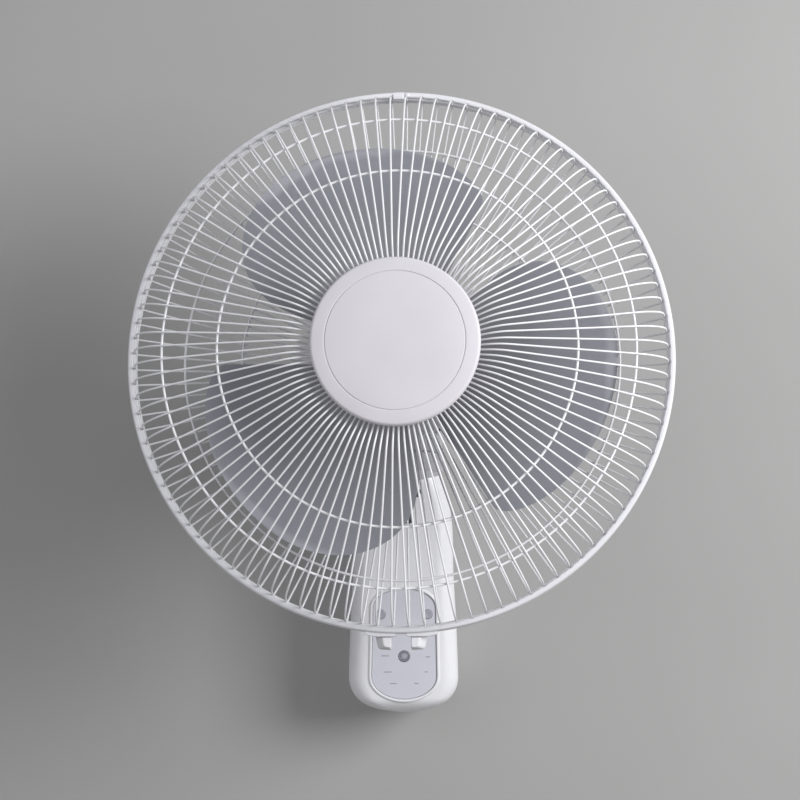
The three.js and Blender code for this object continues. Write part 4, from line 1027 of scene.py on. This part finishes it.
tray_profile = [[1.6, -50.6], [1.6, FLOOR + FLOOR_THICK], [3.4, FLOOR + FLOOR_THICK], [3.4, FLOOR],
                [2.6, FLOOR], [1.0, FLOOR + 0.7], [0.2, FLOOR + 2.0], [0, FLOOR + 3.4],
                [0, TRAY_TOP - 0.6], [0.5, TRAY_TOP], [1.1, TRAY_TOP], [1.6, TRAY_TOP - 0.6]]
tray = pillow("tray_wall", pear_outline(), tray_profile, on_head, closed=True)
pear = pear_outline(-3.0)
angle = np.arctan2(pear[:, 1], pear[:, 0])
hole = HOLE_IN_FLOOR * np.stack([np.cos(angle), np.sin(angle)], axis=-1)
lay = [(hole, FLOOR), (pear, FLOOR), (pear, FLOOR + FLOOR_THICK), (hole, FLOOR + FLOOR_THICK)]
floor_points = np.stack([np.concatenate([p, np.full((len(p), 1), z)], axis=-1) for p, z in lay])
tray_floor = mesh_piece("tray_floor", on_head(floor_points),
                        grid_quads(4, len(pear), close_rows=True))
tray = joined("head_tray", tray, tray_floor)
dress(tray, "head", "white_shell", white, "swing_tray")
print("tray:", len(tray.data.polygons), "faces")

# %% [markdown]
# ## The motor housing
# Behind the guard sits a smooth round cover with five cooling slots in its back. It is turned from one
# profile. The slots don't go round the axis, and neither does the mouth for the swing drive, so these
# are cut out afterwards.

# %% Motor cover
COVER_R, COVER_END, COVER_START, WALL = 51.0, 74.0, 40.1, 2.4
inner = rounded([[0, WALL - COVER_END], [COVER_R - WALL, WALL - COVER_END],
                 [COVER_R - WALL, COVER_START]], [0, 17, 0], steps=14, closed=False)
outer = rounded([[COVER_R, COVER_START], [COVER_R, -COVER_END], [0, -COVER_END]],
                [0, 19, 0], steps=14, closed=False)
housing = turned("motor_housing", np.concatenate([inner, outer]), 144, on_head, closed=False)
vents = []
for row in range(-2, 3):
    wide, z = 30 - 3 * abs(row), 9 * row
    vents.append(punch(f"vent_{row}", box_outline(-wide, wide, z - 1.6, z + 1.6, 1.5), -80, -66,
                       on_head))
mouth = punch("mouth", pear_outline(0.3), -66, -38.3, on_head, flat="up")
cut_away(housing, *vents, mouth)
dress(housing, "head", "white_shell", white, "motor_cover")
print("motor housing:", len(housing.data.polygons), "faces")

# %% [markdown]
# The front of the motor is a cast plate with a threaded collar. The rear guard slips over the collar
# and a plastic ring nut with finger grips holds it there. A modelled spiral would need many faces;
# a wave in the collar's radius that shifts on the way round is a thread too.

# %% Metals
def metal(name, colour, gloss=(0.25, 0.42), brushed=(1, 1, 1), grain=400):
    """Bare or plated metal: a brushed grain in colour, gloss and height."""
    made, nodes, links, shader, place = new_finish(name)
    lines = noise(nodes, links, place, grain, detail=5, stretch=brushed)
    links.new(ramp(nodes, links, lines, [(0.3, shade(colour, 0.8)), (0.7, shade(colour, 1.12))]),
              shader.inputs["Base Color"])
    links.new(span(nodes, links, lines, *gloss), shader.inputs["Roughness"])
    shader.inputs["Metallic"].default_value = 1.0
    bump(nodes, links, shader, lines, 0.2, 3e-5)
    return made


zinc = metal("cast_zinc", (0.42, 0.43, 0.44), gloss=(0.45, 0.6), grain=900)
steel = metal("plated_steel", (0.55, 0.55, 0.57), brushed=(1, 14, 1), grain=500)
print("metals:", [m.name for m in (zinc, steel)])

# %% Motor front plate and ring nut
FACE = 42.4
COLLAR_R = 24
bell_corners = [[5, FACE - 1], [9.3, FACE - 1], [9.3, FACE - 9], [11.3, FACE - 9], [11.3, FACE - 2],
                [42, FACE - 2], [42, 9], [44, 9], [44, FACE - 2], [50, FACE - 2], [50, FACE],
                [COLLAR_R, FACE]]
collar_rows = [[COLLAR_R, FACE + k] for k in np.arange(1.0, 13.2, 0.33)]
bore_corners = [[COLLAR_R, FACE + 13.6], [21, FACE + 13.6], [21, FACE + 1], [5, FACE + 1]]


def thread(r, h, a):
    """A fine thread of 2 mm pitch on the outside of the collar."""
    collar = (r > COLLAR_R - 1) & (r < COLLAR_R + 1) & (h > FACE + 1.5)
    return np.where(collar, 0.25 * (np.cos(np.pi * h - a) - 1), 0)


bell_profile = np.concatenate([rounded(bell_corners, 0.5, steps=2, closed=False),
                               collar_rows, bore_corners])
bell = turned("motor_face", bell_profile, 96, on_head, wave=thread)
dress(bell, "head", "zinc", zinc, "motor_front_bell")
nut_corners = [[24.3, -58.4], [37, -58.4], [37, -55.4], [33.5, -54.6], [31.5, -54], [30.2, -50.8],
               [24.3, -50.4]]


def finger_grips(r, h, a):
    """Eighteen scallops round the flange of the nut."""
    return np.where(r > 35, 0.6 * (np.cos(18 * a) - 1), 0)


ring_nut = turned("guard_ring_nut", rounded(nut_corners, 0.7), 216, on_rim, wave=finger_grips)
dress(ring_nut, "head", "white_shell", white, "rear_guard_nut")
print("motor face:", len(bell.data.polygons), "faces")

# %% [markdown]
# Three screws show: two in the back of the motor housing and one deep in the column. Each is turned,
# and two thin cutters sink the cross into its head. A bump map could hint at the cross, but the light
# would not fall into it.

# %% Screws
CROSS = [(-2.1, 2.1, -0.35, 0.35), (-0.35, 0.35, -2.1, 2.1)]


def screw_head(name, place, head_r, start, proud):
    """A domed head on a stem, with a crossed recess."""
    corners = [[0, start + proud], [head_r * 0.8, start + proud * 0.8], [head_r, start],
               [1.6, start], [1.6, start - 18], [0, start - 18]]
    made = turned(name, rounded(corners, [0, 1, 0.4, 0.2, 0.2, 0], closed=False), 48, place,
                  closed=False)
    slots = [punch(f"{name}_slot_{k}", box_outline(*arm, 0.1), start + 0.8, start + 9, place)
             for k, arm in enumerate(CROSS)]
    return cut_away(made, *slots)


def on_back(up):
    """Turned pieces on the back of the motor housing: the axis points backwards."""
    return lambda points: on_head(np.asarray(points) * [1, -1, 1] + [0, 0, up])


for label, up in (("upper", 26), ("lower", -26)):
    screw = screw_head(f"housing_screw_{label}", on_back(up), 3.6, COVER_END + 0.3, 1.9)
    dress(screw, "head", "steel", steel, f"cover_screw_{label}")
front_screw = screw_head("cover_screw_head", at_wall(HOLE_AT), 4.3, 67.3, 2.0)
dress(front_screw, "base", "steel", steel, "column_screw")
print("each screw:", len(screw.data.polygons), "faces")

# %% [markdown]
# ## The pieces inside
# The motor, the swing drive, the boards and the steel yoke stay as the CAD model has them, because
# their shapes are plain and hardly show. They get finishes of their own: brushed and cast metals,
# enamelled copper with the lay of its wire, green board with its coat of lacquer, and rubber.

# %% Finishes of the pieces inside
def wound(name, colour, wire):
    """Enamelled wire: fine wavy bands a wire apart, worked out from Object coordinates."""
    made, nodes, links, shader, place = new_finish(name)
    bands = nodes.new("ShaderNodeTexWave")
    bands.inputs["Scale"].default_value = 1 / wire
    bands.inputs["Distortion"].default_value = 1.5
    links.new(place, bands.inputs["Vector"])
    links.new(ramp(nodes, links, bands.outputs["Fac"],
                   [(0.1, shade(colour, 0.45)), (0.6, colour), (1.0, shade(colour, 1.25))]),
              shader.inputs["Base Color"])
    shader.inputs["Metallic"].default_value = 0.7
    links.new(span(nodes, links, noise(nodes, links, place, 200), 0.25, 0.4),
              shader.inputs["Roughness"])
    bump(nodes, links, shader, bands.outputs["Fac"], 0.5, 1e-4)
    return made


brass = metal("turned_brass", (0.62, 0.45, 0.2), brushed=(1, 1, 20))
stacked = metal("stacked_sheets", (0.16, 0.165, 0.18), gloss=(0.4, 0.6), brushed=(1, 60, 1),
                grain=60)
copper = wound("enamelled_copper", (0.5, 0.17, 0.06), 0.0025)
board = moulded("board_lacquer", (0.03, 0.16, 0.08), gloss=(0.2, 0.4), peel=600, depth=8e-5,
                drift=0.25)
rubber = moulded("gland_rubber", (0.60, 0.60, 0.62), gloss=(0.6, 0.75), peel=1800)
black = moulded("black_case", (0.022, 0.022, 0.025), gloss=(0.4, 0.6), peel=1200)
INSIDE = {
    "zinc": (zinc, ["wall_bracket", "motor_rear_bell", "swing_bracket"]),
    "steel": (steel, ["tilt_yoke", "tilt_bolt", "tilt_nut", "swing_post", "anchor_pin",
                      "swing_motor", "swing_link", "motor_shaft", "front_bearing", "rear_bearing",
                      "drive_pin"]),
    "brass": (brass, ["friction_washer_left", "friction_washer_right", "swing_crank"]),
    "lamination": (stacked, ["stator_core", "rotor"]),
    "copper": (copper, ["front_winding", "rear_winding"]),
    "board_green": (board, ["control_board", "power_board"]),
    "black_plastic": (black, ["run_capacitor"]),
    "gland_rubber": (rubber, ["cord_gland"]),
    "white_shell": (white, ["badge_clip"]),
}
for slot, (finish, names) in INSIDE.items():
    for name in names:
        node = frame["nodes"][name]
        node.data.materials.clear()
        node.data.materials.append(finish)
print("finished inside:", sum(len(names) for _, names in INSIDE.values()), "pieces")

# %% [markdown]
# ## Wall and floor
# The fan hangs on a plain pale wall that curves down into a floor, as a roll of paper does in a
# studio. Two planes would show a line where they meet. Seen from behind, the wall is clear, so that
# the back of the fan can be looked at.

# %% Wall and floor
def backdrop():
    """A strip across the room: up the wall, round a quarter circle, and out along the floor."""
    a = np.linspace(0, np.pi / 2, 24)
    radius, low, behind = 0.5, -1.3, 0.0012
    bend = np.stack([behind - radius * (1 - np.cos(a)), low + radius * (1 - np.sin(a))], axis=-1)
    line = np.concatenate([[[behind, 3.2]], bend, [[-7.0, low]]])
    x = np.array([-5.0, 5.0])
    points = np.stack([np.broadcast_to(x[None, :], (len(line), 2)),
                       np.broadcast_to(line[:, :1], (len(line), 2)),
                       np.broadcast_to(line[:, 1:], (len(line), 2))], axis=-1)
    sheet = mesh_piece("plain_wall", points, grid_quads(len(line), 2, close_columns=False),
                       weld=False, sharp=0)
    if sheet.data.polygons[0].normal.y > 0:
        sheet.data.flip_normals()
    return sheet


def wall_paint():
    """Matt pale grey paint, a little cloudy. Its back is clear, for views from behind, and so is its
    front to light rays that have come less than 30 mm, so that the column's back isn't black there."""
    made, nodes, links, shader, place = new_finish("wall_paint")
    tone = noise(nodes, links, place, 3, detail=2)
    links.new(ramp(nodes, links, tone, [(0.3, (0.375, 0.372, 0.365)), (0.7, (0.395, 0.392, 0.385))]),
              shader.inputs["Base Color"])
    shader.inputs["Roughness"].default_value = 0.9
    clear = nodes.new("ShaderNodeBsdfTransparent")
    side = nodes.new("ShaderNodeNewGeometry")
    near = nodes.new("ShaderNodeMath")
    near.operation = "LESS_THAN"
    near.inputs[1].default_value = 0.03
    links.new(nodes.new("ShaderNodeLightPath").outputs["Ray Length"], near.inputs[0])
    either = nodes.new("ShaderNodeMath")
    either.operation = "MAXIMUM"
    links.new(side.outputs["Backfacing"], either.inputs[0])
    links.new(near.outputs["Value"], either.inputs[1])
    mix = nodes.new("ShaderNodeMixShader")
    links.new(either.outputs["Value"], mix.inputs["Fac"])
    links.new(shader.outputs["BSDF"], mix.inputs[1])
    links.new(clear.outputs["BSDF"], mix.inputs[2])
    links.new(mix.outputs["Shader"], nodes["Material Output"].inputs["Surface"])
    return made


wall = backdrop()
wall.data.materials.append(wall_paint())
print("backdrop:", len(wall.data.polygons), "faces")

# %% [markdown]
# ## Light
# A soft square light stands to the right and above and gives the shadows. A wider, weaker one fills
# in from the left, and the pale room around does the rest. One sky alone would be easier, but it
# leaves the wires without highlights.

# %% Light
def soft_light(name, at, size, watts):
    """A square area light that looks at the middle of the fan."""
    data = bpy.data.lights.new(name, "AREA")
    data.size = size
    data.energy = watts
    lamp = bpy.data.objects.new(name, data)
    lamp.location = at
    lamp.rotation_euler = (MIDDLE - Vector(at)).to_track_quat("-Z", "Y").to_euler()
    bpy.context.scene.collection.objects.link(lamp)


MIDDLE = Vector((0, -0.15, 0.1))
soft_light("key", (1.35, -1.3, 0.6), 0.9, 33)
soft_light("fill", (-1.6, -1.9, 0.5), 1.4, 8)
world = bpy.data.worlds.new("pale_room")
world.use_nodes = True
room = world.node_tree.nodes["Background"]
room.inputs["Color"].default_value = (0.93, 0.94, 1.0, 1)
room.inputs["Strength"].default_value = 0.44
bpy.context.scene.world = world
print("lamps:", len(bpy.data.lights))

# %% [markdown]
# ## Camera
# The camera stands level with the swing drive and a little to the left, and looks up by half a degree.
# A wide lens from close by would make the guard bulge; this one is long enough to keep it nearly round.

# %% Camera
camera_data = bpy.data.cameras.new("photo_camera")
camera_data.lens = 86.1
camera_data.sensor_width = 36
camera = bpy.data.objects.new("photo_camera", camera_data)
camera.location = (-0.0472, -1.7443, 0.1332)
camera.rotation_euler = (math.radians(90.555), 0, math.radians(-1.5))
bpy.context.scene.collection.objects.link(camera)
bpy.context.scene.camera = camera
bpy.context.scene.view_settings.view_transform = "Standard"
print("camera at", np.round(camera.location, 4).tolist())
